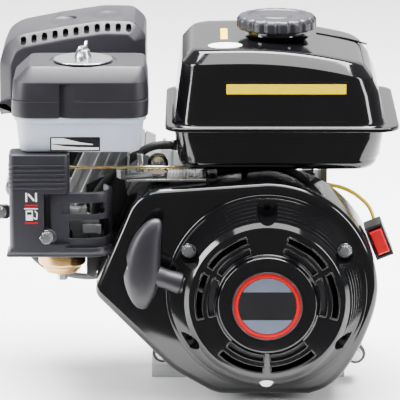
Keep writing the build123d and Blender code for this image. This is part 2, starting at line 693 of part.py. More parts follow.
def make_cleaner_cover():
    x0, x1 = CLEANER_X
    y0, y1 = CLEANER_Y
    z1, z2 = CLEANER_Z[1:]
    cover = tapered((x0, x1, y0, y1, z1 + 0.4, 18), (x0 + 5, x1 - 5, y0 + 4, y1 - 4, z2, 16))
    cover = chamfer(cover.edges().group_by(Axis.Z)[-1], 7)
    hollow = tapered((x0 + 2.5, x1 - 2.5, y0 + 2.5, y1 - 2.5, z1 - 0.5, 16),
                     (x0 + 8, x1 - 8, y0 + 7, y1 - 7, z2 - 2.5, 13))
    hollow = chamfer(hollow.edges().group_by(Axis.Z)[-1], 6)
    return cover - hollow - zcyl(3.3, z2 - 5, z2 + 5, *STUD_XY)


def make_filter_element():
    x0, x1 = CLEANER_X
    y0, y1 = CLEANER_Y
    z0, _, z2 = CLEANER_Z
    block = tapered((x0 + 24, x1 - 24, y0 + 18, y1 - 18, z0 + 13, 12),
                    (x0 + 24, x1 - 24, y0 + 18, y1 - 18, z2 - 8, 12))
    return block - zcyl(14, z0, z2, *STUD_XY)


def make_wing_washer():
    z2 = CLEANER_Z[2]
    washer = zcyl(27, z2 + 0.3, z2 + 1.8, *STUD_XY) - zcyl(3.3, z2 - 1, z2 + 4, *STUD_XY)
    return washer


def make_wing_nut():
    z2 = CLEANER_Z[2] + 2.1
    nut = zcyl(7, z2, z2 + 8, *STUD_XY)
    for side in (-1, 1):
        wing = Pos(STUD_XY[0] + side * 11, STUD_XY[1], z2 + 8) * Rot(90, 0, 0) * Cylinder(6.5, 2.4)
        nut += wing
    return nut - zcyl(3.05, z2 - 1, z2 + 20, *STUD_XY)


SHROUD_X = (-238.0, -184.0)
SHROUD_Y = (-134.0, -102.0)
SHROUD_Z = (138.0, 231.0)
SIDE_LUG_XZ = (-244.3, 177.0)
SIDE_LUG_Y = (-118.0, -113.0)


def make_intake_shroud():
    """Moulded elbow that leads air from the cleaner down to the carburettor."""
    x0, x1 = SHROUD_X
    y0, y1 = SHROUD_Y
    z0, z1 = SHROUD_Z
    shroud = box(x0, x1 + 22, y0 + 2, y1 - 8, z0, z1)
    shroud = fillet(shroud.edges().filter_by(Axis.Z), 6)
    shroud += ycyl(16, y1 - 9, y1 + 1.9, CARB_X, CARB_Z + 4)
    for k in range(5):
        shroud += box(x0 + 8, x1 + 14, y0, y0 + 4, 190 + 6 * k, 193 + 6 * k)
    shroud += box(x1 + 17, -148, y0 + 10, y0 + 12.5, z0 + 2, z0 + 10)
    side_x, side_z = SIDE_LUG_XZ
    shroud += box(side_x - 5.9, x0 + 2, *SIDE_LUG_Y, side_z - 6.5, side_z + 6.5)
    shroud -= box(x0 + 2.5, x1 + 19.5, y0 + 4.5, y1 - 10.5, z0 + 3, z1 - 2.5)
    shroud -= zcyl(AIR_R - 1, z1 - 5, z1 + 3, *AIR_XY)
    return shroud - ycyl(12, y1 - 14, y1 + 3, CARB_X, CARB_Z + 4)


def make_shroud_nuts():
    front = SHROUD_Y[0] + 2
    side = SIDE_LUG_Y[0]
    return group([bolt_y(-202, 157, front, front - 3), bolt_y(*SIDE_LUG_XZ, side, side - 3, head_r=4.8)])


def make_carburetor():
    y0, y1 = CARB_Y
    body = ycyl(19, y0, y1, CARB_X, CARB_Z)
    body += box(CARB_X - 26, CARB_X + 26, y1 - 6, y1, CARB_Z - 16, CARB_Z + 16)
    body += box(CARB_X - 24, CARB_X + 24, y0, y0 + 5, CARB_Z - 15, CARB_Z + 15)
    body += zcyl(18, 124.3, CARB_Z, CARB_X, BOWL_Y)
    body -= ycyl(10.5, y0 - 1, y1 + 1, CARB_X, CARB_Z)
    body -= zcyl(3.2, CARB_Z - 60, CARB_Z + 60, CARB_X, THROTTLE_Y)
    body -= zcyl(3.2, CARB_Z - 60, CARB_Z + 60, CARB_X, CHOKE_Y)
    body += box(CARB_X + 8, CARB_X + 35, y0, -77, 150, 166) - ycyl(14, y0 - 1, y1 + 1, CARB_X, CARB_Z)
    body -= ycyl(TAP_R + RUN_GAP, y0 - 1, -90, *TAP_XZ)
    return body


THROTTLE_Y = -66.0
CHOKE_Y = -93.0
CHOKE_REST = -25.0         # choke arm's angle from +X with the choke open
TAP_XZ = (-163.0, 158.0)
TAP_R = 3.5


def make_float_bowl():
    bowl = zcyl(BOWL_R, 109, 124, CARB_X, BOWL_Y)
    bowl = fillet(bowl.edges().group_by(Axis.Z)[0], 5)
    bowl -= zcyl(BOWL_R - 1.2, 111, 125, CARB_X, BOWL_Y)
    rim = zcyl(BOWL_R + 1.5, 121, 124, CARB_X, BOWL_Y) - zcyl(BOWL_R - 0.5, 120, 125, CARB_X, BOWL_Y)
    return bowl + rim - zcyl(3.1, 105, 115, CARB_X, BOWL_Y)


def make_bowl_bolts():
    main = Pos(CARB_X, BOWL_Y, 103.8) * extrude(RegularPolygon(5, 6), amount=5)
    return main + zcyl(3, 108.8, 124, CARB_X, BOWL_Y)


def make_carb_insulator():
    plate = box(CARB_X - 26, CARB_X + 26, -58, -52, CARB_Z - 16, CARB_Z + 16)
    tunnel = ycyl(10, -59, -49, CARB_X, CARB_Z)
    return plate - tunnel + (ycyl(14, -52, -50, CARB_X + 6, CARB_Z) - ycyl(9.5, -53, -49, CARB_X + 6, CARB_Z))


def make_float():
    ring_body = zcyl(15, 112.5, 120, CARB_X, BOWL_Y) - zcyl(8, 112, 121, CARB_X, BOWL_Y)
    return ring_body


def make_choke_lever():
    shaft = zcyl(3.1, CARB_Z - 12, CARB_Z + 24, CARB_X, CHOKE_Y)
    plate = Pos(CARB_X, CHOKE_Y, CARB_Z) * Rot(0, 90, 0) * Cylinder(9.4, 1.2)
    arm = box(-4, 22, -4, 4, CARB_Z + 21, CARB_Z + 24) + zcyl(4, CARB_Z + 19.5, CARB_Z + 28, 22, 0)
    return shaft + plate + Pos(CARB_X, CHOKE_Y, 0) * Rot(0, 0, CHOKE_REST) * arm


def make_throttle_shaft():
    shaft = zcyl(3.1, CARB_Z - 12, ROD_Z - 2, CARB_X, THROTTLE_Y)
    plate = Pos(CARB_X, THROTTLE_Y, CARB_Z) * Rot(90, 0, 0) * Cylinder(9.6, 1.2)
    arm = box(CARB_X - 4, CARB_X + 4, ROD_Y - 4, THROTTLE_Y + 4, ROD_Z - 4.6, ROD_Z - 2)
    return shaft + plate + arm


def make_fuel_lever():
    x, z = TAP_XZ
    stem = ycyl(TAP_R, -104, -91, x, z)
    return stem + box(x - 6, x + 11, -106, -103, z - 4, z + 4) + box(x + 7, x + 11, -109, -105, z - 4, z + 4)


def make_fuel_hose():
    """Hose from the tank outlet to the fuel tap."""
    points = ((-86, -70, 229), (-104, -70, 229), (-124, -71, 218), (-140, -73, 203), (-153, -78, 191),
              (-159, -82, 180), (-159, -82, 166))
    return tube(points, 4)


# --------------------------------------------------------------------- exhaust
def make_muffler_can():
    x0, x1 = MUFFLER_X
    y0, y1 = MUFFLER_Y
    z0, z1 = MUFFLER_Z
    can = box(x0 + 9, x1 - 9, y0 + 8, y1 - 8, z0 + 4, z1 - 20)
    can = fillet(can.edges().filter_by(Axis.Y), 18)
    can -= Pos((x0 + x1) / 2, (y0 + y1) / 2, (z0 + z1) / 2 - 8) * Box(90, 60, 40)
    return can - ycyl(7, y1 - 20, y1, x1 - 30, z1 - 45)


def make_exhaust_pipe():
    x, z = tilted_xz(8, 172)
    flange = ycyl(24, 54, 60, x, z) - ycyl(11, 53, 61, x, z)
    elbow = ycyl(12, 60, 80, x, z) + zcyl(13, z, MUFFLER_Z[0] + 4, x, 69)
    return flange + elbow - ycyl(10, 53, 70, x, z)


def make_muffler_cover():
    x0, x1 = MUFFLER_X
    y0, y1 = MUFFLER_Y
    z0, z1 = MUFFLER_Z
    side = Polygon((x0, z0), (x1, z0), (x1, z1 - 6), (x1 - 6, z1), (x0 + 60, z1 - 1), (x0 + 4, z1 - 13),
                   (x0, z1 - 30),
                   align=None)
    solid = along_y(side, y0, y1)
    hollow = Pos(0, 0, -1.5) * along_y(offset(side, -1.5, kind=Kind.INTERSECTION), y0 + 1.5, y1 - 1.5)
    cover = solid - hollow - box(x0 + 1.5, x1 - 1.5, y0 + 1.5, y1 - 1.5, z0 - 1, z0 + 8)
    for k in range(11):
        slot = SlotOverall(10, 5, rotation=90)
        cover -= Pos(x0 + 18 + 10 * k, y0, z1 - 34) * Rot(90, 0, 0) * extrude(slot, amount=6,
                                                                               both=True)
    return cover


# ------------------------------------------------------------ ignition, switch
def coil_frame():
    """Origin on the crank axis, z out towards the coil."""
    return Pos(0, 0, CRANK_Z) * Rot(0, -50, 0)


def make_ignition_coil():
    core = box(-18, 18, -106, -94, FLYWHEEL_R + 1, FLYWHEEL_R + 9)
    core += box(-18, -10, -106, -94, FLYWHEEL_R + 1, FLYWHEEL_R + 24)
    core += box(10, 18, -106, -94, FLYWHEEL_R + 4, FLYWHEEL_R + 24)
    winding = box(-15, 15, -110, -88, FLYWHEEL_R + 9, FLYWHEEL_R + 22)
    return coil_frame() * (core + winding)


def make_spark_plug():
    plug = zcyl(8, -11, 20) + zcyl(7, 20, 30) + Pos(0, 0, 30) * extrude(RegularPolygon(10.4, 6), amount=7)
    plug += zcyl(5.4, 37, 60)
    return plug_frame() * plug


def make_plug_cap():
    cap = zcyl(10.5, 38.5, 66) + Pos(-10, 0, 58) * Rot(0, 90, 0) * Cylinder(6, 20)
    return plug_frame() * (cap - zcyl(5.5, 38, 60.5))


def make_plug_lead():
    start = (plug_frame() * Pos(-20, 0, 58)).position
    down = (plug_frame() * Pos(-31, 0, 58)).position
    points = (tuple(start), tuple(down), (-208, 12, 90), (-184, -14, 89), (-160, -40, 94), (-134, -57, 108),
              (-108, -57, 132), (-86, -58, 153), (-80, -72, 160), (-80, -88, 160))
    return tube(points, 3)


def switch_frame():
    """x points outwards from the crank axis through the switch."""
    return Pos(0, 0, CRANK_Z) * Rot(0, -SWITCH_ANGLE, 0)


def make_switch_housing():
    housing = box(103.4, 120, -110, -84, -16, 16) - box(105.4, 118.6, -111, -96, -13.6, 13.6)
    return switch_frame() * housing


def make_switch_rocker():
    x, y = SWITCH_AXIS
    rocker = box(x - 6, x + 6, y - 9, y + 3, -11.6, 11.6)
    rocker = fillet(rocker.edges().group_by(Axis.Y)[0], 1.5)
    pivot = Pos(x, y, 0) * Rot(0, 90, 0) * Cylinder(1.5, 12.8)
    return switch_frame() * (rocker + pivot)


def make_switch_wire():
    start = (switch_frame() * Pos(112, -84, 4)).position
    rear = start + Vector(0, 13, 0)
    points = (tuple(start), tuple(rear), (98, -60, 168), (78, -57, 184), (36, -57, 193), (-8, -57, 194),
              (-46, -61, 188), (-66, -68, 178), (-70, -78, 171), (-70, -88, 171))
    return tube(points, 1.8)


# -------------------------------------------------------------------- controls
def make_control_bracket():
    plate = box(-128, -56, -116, -78, 205.4, 207.4)
    plate += box(-128, -126, -87, -79, 207.4, 226) + zcyl(3.5, 207, 224, -116, -84)
    plate -= zcyl(4.1, 200, 210, *LEVER_XY)
    return plate


def make_throttle_lever():
    x, y = LEVER_XY
    lever = zcyl(4, 204, LEVER_Z + 2.4, x, y) + zcyl(9, LEVER_Z, LEVER_Z + 2.4, x, y)
    blade = Pos(19, 0, 0) * Box(38, 9, 2.4) + Pos(37, 0, 3) * Box(4, 9, 8)
    arm = Pos(x, y, LEVER_Z + 1.2) * Rot(0, 0, 205) * blade
    return lever + arm


def make_governor_arm():
    x, y = GOV_XY
    arm = zcyl(GOV_R, 126, ROD_Z - 2, x, y)
    return arm + box(x - 4, x + 4, ROD_Y - 4, y + 4, ROD_Z - 4.6, ROD_Z - 2)


def make_governor_rod():
    """Rod from the governor arm to the throttle arm, lying just above both."""
    return xcyl(1.3, CARB_X - 2, GOV_XY[0] + 2, ROD_Y, ROD_Z)


def make_governor_spring():
    return xcyl(2.6, -112.5, -60, -84, 211) - xcyl(1.8, -113, -59, -84, 211)


def make_oil_dipstick():
    y, z = PLUG_YZ
    plug = xcyl(PLUG_HOLE_R - 0.05, 60, 70, y, z) + xcyl(15, 70.3, 79, y, z) + xcyl(6, 69, 71, y, z)
    return plug + xcyl(2.4, 30, 61, y, z)


def make_oil_filler_plug():
    y, z = PLUG_YZ
    return xcyl(PLUG_HOLE_R - 0.05, -80, -70, y, z) + xcyl(15, -89, -80.3, y, z) + xcyl(6, -81, -79, y, z)


def make_drain_bolts():
    pieces = []
    for x0, x1 in ((-86, -80), (70, 76)):
        hexagon = Pos(x0, -34, 22) * Rot(0, 90, 0) * extrude(RegularPolygon(6, 6), amount=x1 - x0)
        pieces.append(hexagon)
    return group(pieces)


def together(*makers):
    """One node that holds the solids of several makers."""
    return lambda: group([make() for make in makers])


NODES = {
    "crankcase": make_crankcase,
    "side_cover": make_side_cover,
    "case_bolts": together(make_side_cover_bolts, make_tank_bolts, make_drain_bolts, make_head_bolts,
                           make_cover_screws),
    "bearings_and_seals": together(make_main_bearings, make_oil_seals),
    "gaskets": together(make_head_gasket, make_carb_insulator),
    "cylinder_head": make_cylinder_head,
    "rocker_cover": make_rocker_cover,
    "valve_train": make_valve_train,
    "piston": together(make_piston, make_piston_pin),
    "connecting_rod": make_connecting_rod,
    "crankshaft": make_crankshaft,
    "flywheel": make_flywheel,
    "cooling_fan": make_cooling_fan,
    "starter_cup": make_starter_cup,
    "flywheel_nut": make_flywheel_nut,
    "camshaft": make_camshaft,
    "fan_cover": make_fan_cover,
    "cover_bolts": together(make_fan_cover_bolts, make_recoil_bolts),
    "recoil_case": make_recoil_case,
    "badge": make_badge,
    "recoil_reel": make_recoil_reel,
    "rope_coil": make_rope_coil,
    "recoil_spring": make_recoil_spring,
    "ratchet_pawls": together(make_ratchet_pawls, make_guide_plate),
    "starter_handle": make_starter_handle,
    "starter_rope": make_starter_rope,
    "tank_upper": together(make_tank_upper, make_filler_neck),
    "tank_lower": make_tank_lower,
    "fuel_cap": make_fuel_cap,
    "cap_gasket": make_cap_gasket,
    "tank_bracket": make_tank_bracket,
    "cleaner_base": make_cleaner_base,
    "cleaner_cover": make_cleaner_cover,
    "filter_element": make_filter_element,
    "wing_washer": make_wing_washer,
    "wing_nut": make_wing_nut,
    "intake_shroud": make_intake_shroud,
    "intake_fasteners": together(make_shroud_nuts, make_cleaner_stud, make_bowl_bolts),
    "carburetor": make_carburetor,
    "float_bowl": together(make_float_bowl, make_float),
    "choke_lever": make_choke_lever,
    "throttle_shaft": make_throttle_shaft,
    "fuel_lever": make_fuel_lever,
    "fuel_hose": make_fuel_hose,
    "muffler": together(make_muffler_can, make_exhaust_pipe),
    "muffler_cover": make_muffler_cover,
    "ignition_coil": make_ignition_coil,
    "spark_plug": make_spark_plug,
    "plug_cap": make_plug_cap,
    "plug_lead": make_plug_lead,
    "switch_housing": make_switch_housing,
    "switch_rocker": make_switch_rocker,
    "switch_wire": make_switch_wire,
    "control_bracket": make_control_bracket,
    "throttle_lever": make_throttle_lever,
    "governor_arm": make_governor_arm,
    "governor_rod": make_governor_rod,
    "governor_spring": make_governor_spring,
    "oil_dipstick": make_oil_dipstick,
    "oil_filler_plug": make_oil_filler_plug,
}

os.makedirs("parts", exist_ok=True)
for name, make in NODES.items():
    export_step(make(), f"parts/{name}.step")
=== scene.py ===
import json
from math import copysign, cos, pi, radians, sin, sqrt, tau

import bmesh
import bpy
from mathutils import Matrix, Vector


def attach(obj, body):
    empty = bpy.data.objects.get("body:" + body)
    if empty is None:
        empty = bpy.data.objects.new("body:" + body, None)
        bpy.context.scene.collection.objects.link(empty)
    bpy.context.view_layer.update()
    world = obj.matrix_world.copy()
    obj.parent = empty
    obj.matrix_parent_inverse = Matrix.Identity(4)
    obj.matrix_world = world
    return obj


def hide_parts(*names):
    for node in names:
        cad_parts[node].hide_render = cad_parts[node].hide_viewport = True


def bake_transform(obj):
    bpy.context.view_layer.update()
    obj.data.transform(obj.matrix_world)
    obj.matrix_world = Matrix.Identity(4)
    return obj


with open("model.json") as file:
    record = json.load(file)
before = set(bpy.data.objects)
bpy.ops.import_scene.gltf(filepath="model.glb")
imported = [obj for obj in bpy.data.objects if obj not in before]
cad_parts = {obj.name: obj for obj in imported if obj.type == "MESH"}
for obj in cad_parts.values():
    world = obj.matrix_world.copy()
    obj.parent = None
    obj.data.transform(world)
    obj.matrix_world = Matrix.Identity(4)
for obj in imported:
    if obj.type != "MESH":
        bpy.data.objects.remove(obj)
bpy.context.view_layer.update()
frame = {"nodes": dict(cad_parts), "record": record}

MM = 0.001
CRANK_Z = 106.0
COVER_FRONT = -135.0
COVER_REAR = -64.0
HUB_FRONT = -184.0
RECOIL_FRONT = -178.0
BLOWER_R = 102.4           # round end of the fan cover
BOLT_CIRCLE = 82.0
SLOT_ANGLES = (30, 150, 270)
BOSS_ANGLES = (30, 90, 150, 210, 270, 330)
SEAM_Z = 256.0             # joint between the two tank halves
TANK = (-85.0, 108.0, -124.0, 52.0)
FLANGE = (-93.0, 121.0, -129.0, 57.0)
TANK_FLOOR = 216.0
CAP_XY = (10.0, -38.0)
CAP_Z = (333.5, 346.0)
CLEANER = (-233.0, -108.0, -134.0, -48.0)
STUD_XY = (-168.0, -92.0)
COVER_TOP = 314.0          # top of the air cleaner cover
OUTLET = (-77.0, -160.0, 120.0)
PULL_ANGLE = 18.0
MUFFLER = (-250.0, -112.0, 0.0, 92.0, 246.0, 330.0)

# ------------------------------------------------------------- camera, light
CAMERA_AT = Vector((-0.061, -3.448, 1.0187))
LOOK_AT = Vector((-0.061, -0.052, 0.172))
FIELD_OF_VIEW = radians(6.114)


def link(obj):
    bpy.context.scene.collection.objects.link(obj)
    return obj


def aim(obj, place, target):
    obj.location = place
    obj.rotation_euler = (Vector(target) - Vector(place)).to_track_quat("-Z", "Y").to_euler()
    return obj


def add_camera():
    data = bpy.data.cameras.new("camera")
    data.angle = FIELD_OF_VIEW
    data.clip_end = 100.0
    bpy.context.scene.camera = aim(link(bpy.data.objects.new("camera", data)), CAMERA_AT, LOOK_AT)


def add_softbox(name, place, width, depth, power):
    data = bpy.data.lights.new(name, "AREA")
    data.shape = "RECTANGLE"
    data.size = width
    data.size_y = depth
    data.energy = power
    return aim(link(bpy.data.objects.new(name, data)), place, (-0.06, 0, 0.15))


def add_world(level):
    world = bpy.data.worlds.new("studio")
    bpy.context.scene.world = world
    world.use_nodes = True
    shade_node = world.node_tree.nodes["Background"]
    shade_node.inputs["Color"].default_value = (1.0, 1.0, 1.0, 1.0)
    shade_node.inputs["Strength"].default_value = level


add_camera()
add_world(0.3)
add_softbox("top_box", (0.0, 0.28, 1.9), 2.0, 1.05, 300)
add_softbox("rear_box", (0.0, 4.2, 1.5), 6.0, 2.6, 60)
add_softbox("front_box", (0.0, -0.65, 1.75), 1.9, 0.65, 36)
add_softbox("left_box", (-1.7, -0.6, 0.9), 0.5, 1.2, 50)
add_softbox("right_box", (1.7, -1.0, 0.9), 0.35, 1.2, 34)


# ----------------------------------------------------------------- materials
def new_node(tree, kind, **inputs):
    made = tree.nodes.new(kind)
    for name, value in inputs.items():
        made.inputs[name].default_value = value
    return made


def blend_colour(tree, factor, first, second):
    mix = tree.nodes.new("ShaderNodeMix")
    mix.data_type = "RGBA"
    tree.links.new(factor, mix.inputs["Factor"])
    colours = [s for s in mix.inputs if s.type == "RGBA"]
    colours[0].default_value = (*first, 1.0)
    colours[1].default_value = (*second, 1.0)
    return [s for s in mix.outputs if s.type == "RGBA"][0]


def surface(name, colour, tint, rough, spread=0.04, metal=0.0, coat=0.0, patch=0.03, grain=0.15,
            grain_size=0.0008, edge=0.0, **constants):
    """A finish: two close colours in soft patches, uneven roughness and a fine relief."""
    material = bpy.data.materials.new(name)
    material.use_nodes = True
    tree = material.node_tree
    shader = tree.nodes["Principled BSDF"]
    place = tree.nodes.new("ShaderNodeTexCoord").outputs["Object"]
    patches = new_node(tree, "ShaderNodeTexNoise", Scale=1 / patch, Detail=5.0)
    fine = new_node(tree, "ShaderNodeTexNoise", Scale=1 / grain_size, Detail=2.0)
    tree.links.new(place, patches.inputs["Vector"])
    tree.links.new(place, fine.inputs["Vector"])
    tree.links.new(blend_colour(tree, patches.outputs["Fac"], colour, tint), shader.inputs["Base Color"])
    level = tree.nodes.new("ShaderNodeMapRange")
    level.inputs["To Min"].default_value = max(0.02, rough - spread)
    level.inputs["To Max"].default_value = rough + spread
    tree.links.new(patches.outputs["Fac"], level.inputs["Value"])
    tree.links.new(level.outputs["Result"], shader.inputs["Roughness"])
    relief = new_node(tree, "ShaderNodeBump", Strength=grain, Distance=0.0003)
    tree.links.new(fine.outputs["Fac"], relief.inputs["Height"])
    tree.links.new(relief.outputs["Normal"], shader.inputs["Normal"])
    if edge:
        worn = tree.nodes.new("ShaderNodeBevel")
        worn.samples = 4
        worn.inputs["Radius"].default_value = edge
        tree.links.new(worn.outputs["Normal"], relief.inputs["Normal"])
    shader.inputs["Metallic"].default_value = metal
    shader.inputs["Coat Weight"].default_value = coat
    shader.inputs["Coat Roughness"].default_value = 0.03
    for key, value in constants.items():
        shader.inputs[key.replace("_", " ")].default_value = value
    return material


EDGE = 0.0006
FINISHES = {
    "black_paint": surface("black_paint", (0.003, 0.003, 0.0035), (0.005, 0.005, 0.006), 0.2,
                           grain=0.02, grain_size=0.0025, edge=EDGE),
    "heat_black": surface("heat_black", (0.015, 0.0145, 0.019), (0.022, 0.021, 0.027), 0.4, grain=0.2,
                          grain_size=0.0007, edge=EDGE),
    "cast_alloy": surface("cast_alloy", (0.36, 0.37, 0.38), (0.47, 0.48, 0.49), 0.42, 0.08, 0.9, grain=0.5,
                          grain_size=0.0011, edge=EDGE),
    "zinc_steel": surface("zinc_steel", (0.62, 0.63, 0.65), (0.5, 0.51, 0.53), 0.26, 0.06, 1.0, patch=0.006,
                          grain=0.12, edge=EDGE),
    "zinc_yellow": surface("zinc_yellow", (0.6, 0.6, 0.58), (0.54, 0.55, 0.56), 0.24, 0.06, 1.0, patch=0.005,
                           grain=0.12, edge=EDGE),
    "bearing_steel": surface("bearing_steel", (0.52, 0.53, 0.55), (0.6, 0.61, 0.63), 0.18, 0.05, 1.0,
                             edge=EDGE),
    "grey_iron": surface("grey_iron", (0.2, 0.2, 0.21), (0.28, 0.28, 0.29), 0.5, 0.08, 0.8, grain=0.4,
                         edge=EDGE),
    "gasket": surface("gasket", (0.09, 0.1, 0.1), (0.13, 0.13, 0.12), 0.8, grain=0.4, edge=EDGE),
    "black_plastic": surface("black_plastic", (0.015, 0.015, 0.02), (0.022, 0.0215, 0.028), 0.36, 0.05,
                             grain=0.12, grain_size=0.0006, edge=EDGE),
    "soft_black": surface("soft_black", (0.009, 0.0086, 0.0125), (0.013, 0.0125, 0.0175), 0.45, grain=0.12,
                          edge=EDGE),
    "grey_plastic": surface("grey_plastic", (0.42, 0.43, 0.44), (0.5, 0.5, 0.51), 0.4, grain=0.1, edge=EDGE),
    "milky_plastic": surface("milky_plastic", (0.56, 0.62, 0.74), (0.64, 0.69, 0.8), 0.3, grain=0.08,
                             edge=EDGE, Subsurface_Weight=0.35, Subsurface_Scale=0.006),
    "rubber_black": surface("rubber_black", (0.013, 0.013, 0.013), (0.024, 0.023, 0.022), 0.6, grain=0.3,
                            edge=EDGE),
    "rope_cord": surface("rope_cord", (0.5, 0.48, 0.44), (0.36, 0.35, 0.33), 0.85, patch=0.002, grain=0.7,
                         grain_size=0.0005, Sheen_Weight=0.3),
    "filter_paper": surface("filter_paper", (0.62, 0.55, 0.36), (0.52, 0.46, 0.3), 0.9, grain=0.6),
    "dark_steel": surface("dark_steel", (0.1, 0.1, 0.105), (0.16, 0.16, 0.165), 0.38, 0.08, 0.9, edge=EDGE),
    "brass_part": surface("brass_part", (0.62, 0.44, 0.17), (0.7, 0.52, 0.24), 0.26, 0.05, 1.0, edge=EDGE),
    "gold_bowl": surface("gold_bowl", (0.6, 0.3, 0.1), (0.72, 0.5, 0.22), 0.24, 0.07, 1.0, patch=0.012,
                         edge=EDGE),
    "switch_red": surface("switch_red", (0.42, 0.0, 0.003), (0.48, 0.001, 0.005), 0.3, edge=EDGE),
    "wire_yellow": surface("wire_yellow", (0.85, 0.6, 0.02), (0.92, 0.68, 0.04), 0.4),
    "badge_print": surface("badge_print", (0.004, 0.004, 0.005), (0.007, 0.007, 0.008), 0.3,
                           grain=0.03),
}
GLOSS = surface("gloss_black", (0.0018, 0.0018, 0.0022), (0.003, 0.003, 0.0036), 0.1, 0.03, grain=0.012,
                grain_size=0.003)
PRINT_RED = surface("print_red", (0.42, 0.0, 0.002), (0.48, 0.0, 0.002), 0.35, grain=0.03,
                    Specular_IOR_Level=0.15)
PRINT_BLUE = surface("print_blue", (0.09, 0.105, 0.15), (0.12, 0.135, 0.185), 0.35, grain=0.03)
PRINT_WHITE = surface("print_white", (0.85, 0.85, 0.85), (0.92, 0.92, 0.91), 0.45, grain=0.05)
PRINT_YELLOW = surface("print_yellow", (0.8, 0.58, 0.0), (0.85, 0.62, 0.001), 0.42, grain=0.05,
                       Specular_IOR_Level=0.1)


def dress_cad_nodes():
    """Each CAD node takes the finish of its material slot."""
    slots = {row["node"]: row["material_slot"] for row in frame["record"]["subparts"]}
    for name, obj in frame["nodes"].items():
        obj.data.materials.clear()
        obj.data.materials.append(FINISHES[slots[name]])
        obj.data.polygons.foreach_set("material_index", [0] * len(obj.data.polygons))


dress_cad_nodes()


# -------------------------------------------------------------- mesh helpers
def mesh_object(name, points, faces):
    """A mesh from points in millimetres, its doubles merged and its faces turned outwards."""
    mesh = bpy.data.meshes.new(name)
    mesh.from_pydata([(x * MM, y * MM, z * MM) for x, y, z in points], [], faces)
    work = bmesh.new()
    work.from_mesh(mesh)
    bmesh.ops.remove_doubles(work, verts=work.verts, dist=1e-7)
    bmesh.ops.recalc_face_normals(work, faces=work.faces)
    work.to_mesh(mesh)
    work.free()
    return link(bpy.data.objects.new(name, mesh))


def loft(name, rings, first=True, last=True):
    """Skin over rings that all have the same number of points."""
    n = len(rings[0])
    faces = []
    for k in range(len(rings) - 1):
        low, high = k * n, (k + 1) * n
        faces += [(low + i, low + (i + 1) % n, high + (i + 1) % n, high + i) for i in range(n)]
    if first:
        faces.append(tuple(range(n)))
    if last:
        faces.append(tuple(range((len(rings) - 1) * n, len(rings) * n)))
    return mesh_object(name, [p for ring in rings for p in ring], faces)


def along_crank(x, z, y):
    return (x, y, CRANK_Z + z)


def about_z(cx, cy):
    return lambda x, y, h: (cx + x, cy + y, h)


def about_y(cx, cz):
    return lambda x, z, h: (cx + x, h, cz + z)


def lathe(name, profile, place=along_crank, segments=180, first=False, last=False, radius=None):
    """Turns (radius, height) points about an axis; radius may vary a radius with its angle."""
    rings = []
    for r, h in profile:
        turns = [2 * pi * k / segments for k in range(segments)]
        reach = [radius(r, a, h) if radius else r for a in turns]
        rings.append([place(q * cos(a), q * sin(a), h) for q, a in zip(reach, turns)])
    return loft(name, rings, first, last)


def soften(line, r, n=4, closed=False):
    """Rounds the corners of a 2-D line by up to r along each side."""
    count = len(line)
    keep = [] if closed else [tuple(line[0])]
    for i in range(0 if closed else 1, count if closed else count - 1):
        before, corner, after = (Vector(line[(i + d) % count]) for d in (-1, 0, 1))
        u, v = before - corner, after - corner
        cut = min(r, 0.48 * u.length, 0.48 * v.length)
        p, q = corner + u.normalized() * cut, corner + v.normalized() * cut
        for k in range(n + 1):
            t = k / n
            keep.append(tuple(p.lerp(corner, t).lerp(corner.lerp(q, t), t)))
    return keep if closed else keep + [tuple(line[-1])]


def arc(a0, a1, r, n, cx=0.0, cz=0.0):
    return [(cx + r * cos(radians(a0 + (a1 - a0) * k / n)), cz + r * sin(radians(a0 + (a1 - a0) * k / n)))
            for k in range(n + 1)]


def round_rect(x0, x1, y0, y1, r, n=8, side=0):
    """A rounded rectangle, with extra points along each straight side."""
    corners = ((x1 - r, y1 - r, 0), (x0 + r, y1 - r, 90), (x0 + r, y0 + r, 180), (x1 - r, y0 + r, 270))
    points = []
    for i, (cx, cy, a) in enumerate(corners):
        points += arc(a, a + 90, r, n, cx, cy)
        nx, ny, na = corners[(i + 1) % 4]
        start = Vector(points[-1])
        end = Vector((nx + r * cos(radians(na)), ny + r * sin(radians(na))))
        points += [tuple(start.lerp(end, (k + 1) / (side + 1))) for k in range(side)]
    return points


def inset(outline, amount):
    """Moves each point of a closed outline inwards along its normal."""
    count = len(outline)
    area = sum(outline[i][0] * outline[(i + 1) % count][1] - outline[(i + 1) % count][0] * outline[i][1]
               for i in range(count))
    turn = 1 if area > 0 else -1
    moved = []
    for i in range(count):
        a, b, c = (Vector(outline[(i + d) % count]) for d in (-1, 0, 1))
        e, f = (b - a).normalized(), (c - b).normalized()
        normal = Vector((-(e.y + f.y), e.x + f.x)) * turn
        normal.normalize()
        stretch = 1 / max(0.5, sqrt(max(0.0, (1 + e.dot(f)) / 2)))
        moved.append(tuple(b + normal * amount * stretch))
    return moved


def rounded_steps(r, n=6):
    """(inset, advance) pairs of a quarter round of radius r."""
    return [(r * (1 - cos(pi * k / 2 / n)), r * sin(pi * k / 2 / n)) for k in range(n + 1)]


def slab(name, outline, rear, front, r_front, r_rear=0.4, place=None):
    """A plate from an (x, z) outline between two y values, with rounded rims; front is the lower y."""
    place = place or (lambda x, z, y: (x, y, z))
    rings = []
    for inward, ahead in reversed(rounded_steps(r_rear, 3)):
        rings.append([place(x, z, rear - r_rear + ahead) for x, z in inset(outline, inward)])
    for inward, ahead in rounded_steps(r_front):
        rings.append([place(x, z, front + r_front - ahead) for x, z in inset(outline, inward)])
    return loft(name, rings)


def applied(obj):
    graph = bpy.context.evaluated_depsgraph_get()
    mesh = bpy.data.meshes.new_from_object(obj.evaluated_get(graph))
    obj.modifiers.clear()
    obj.data = mesh
    return obj


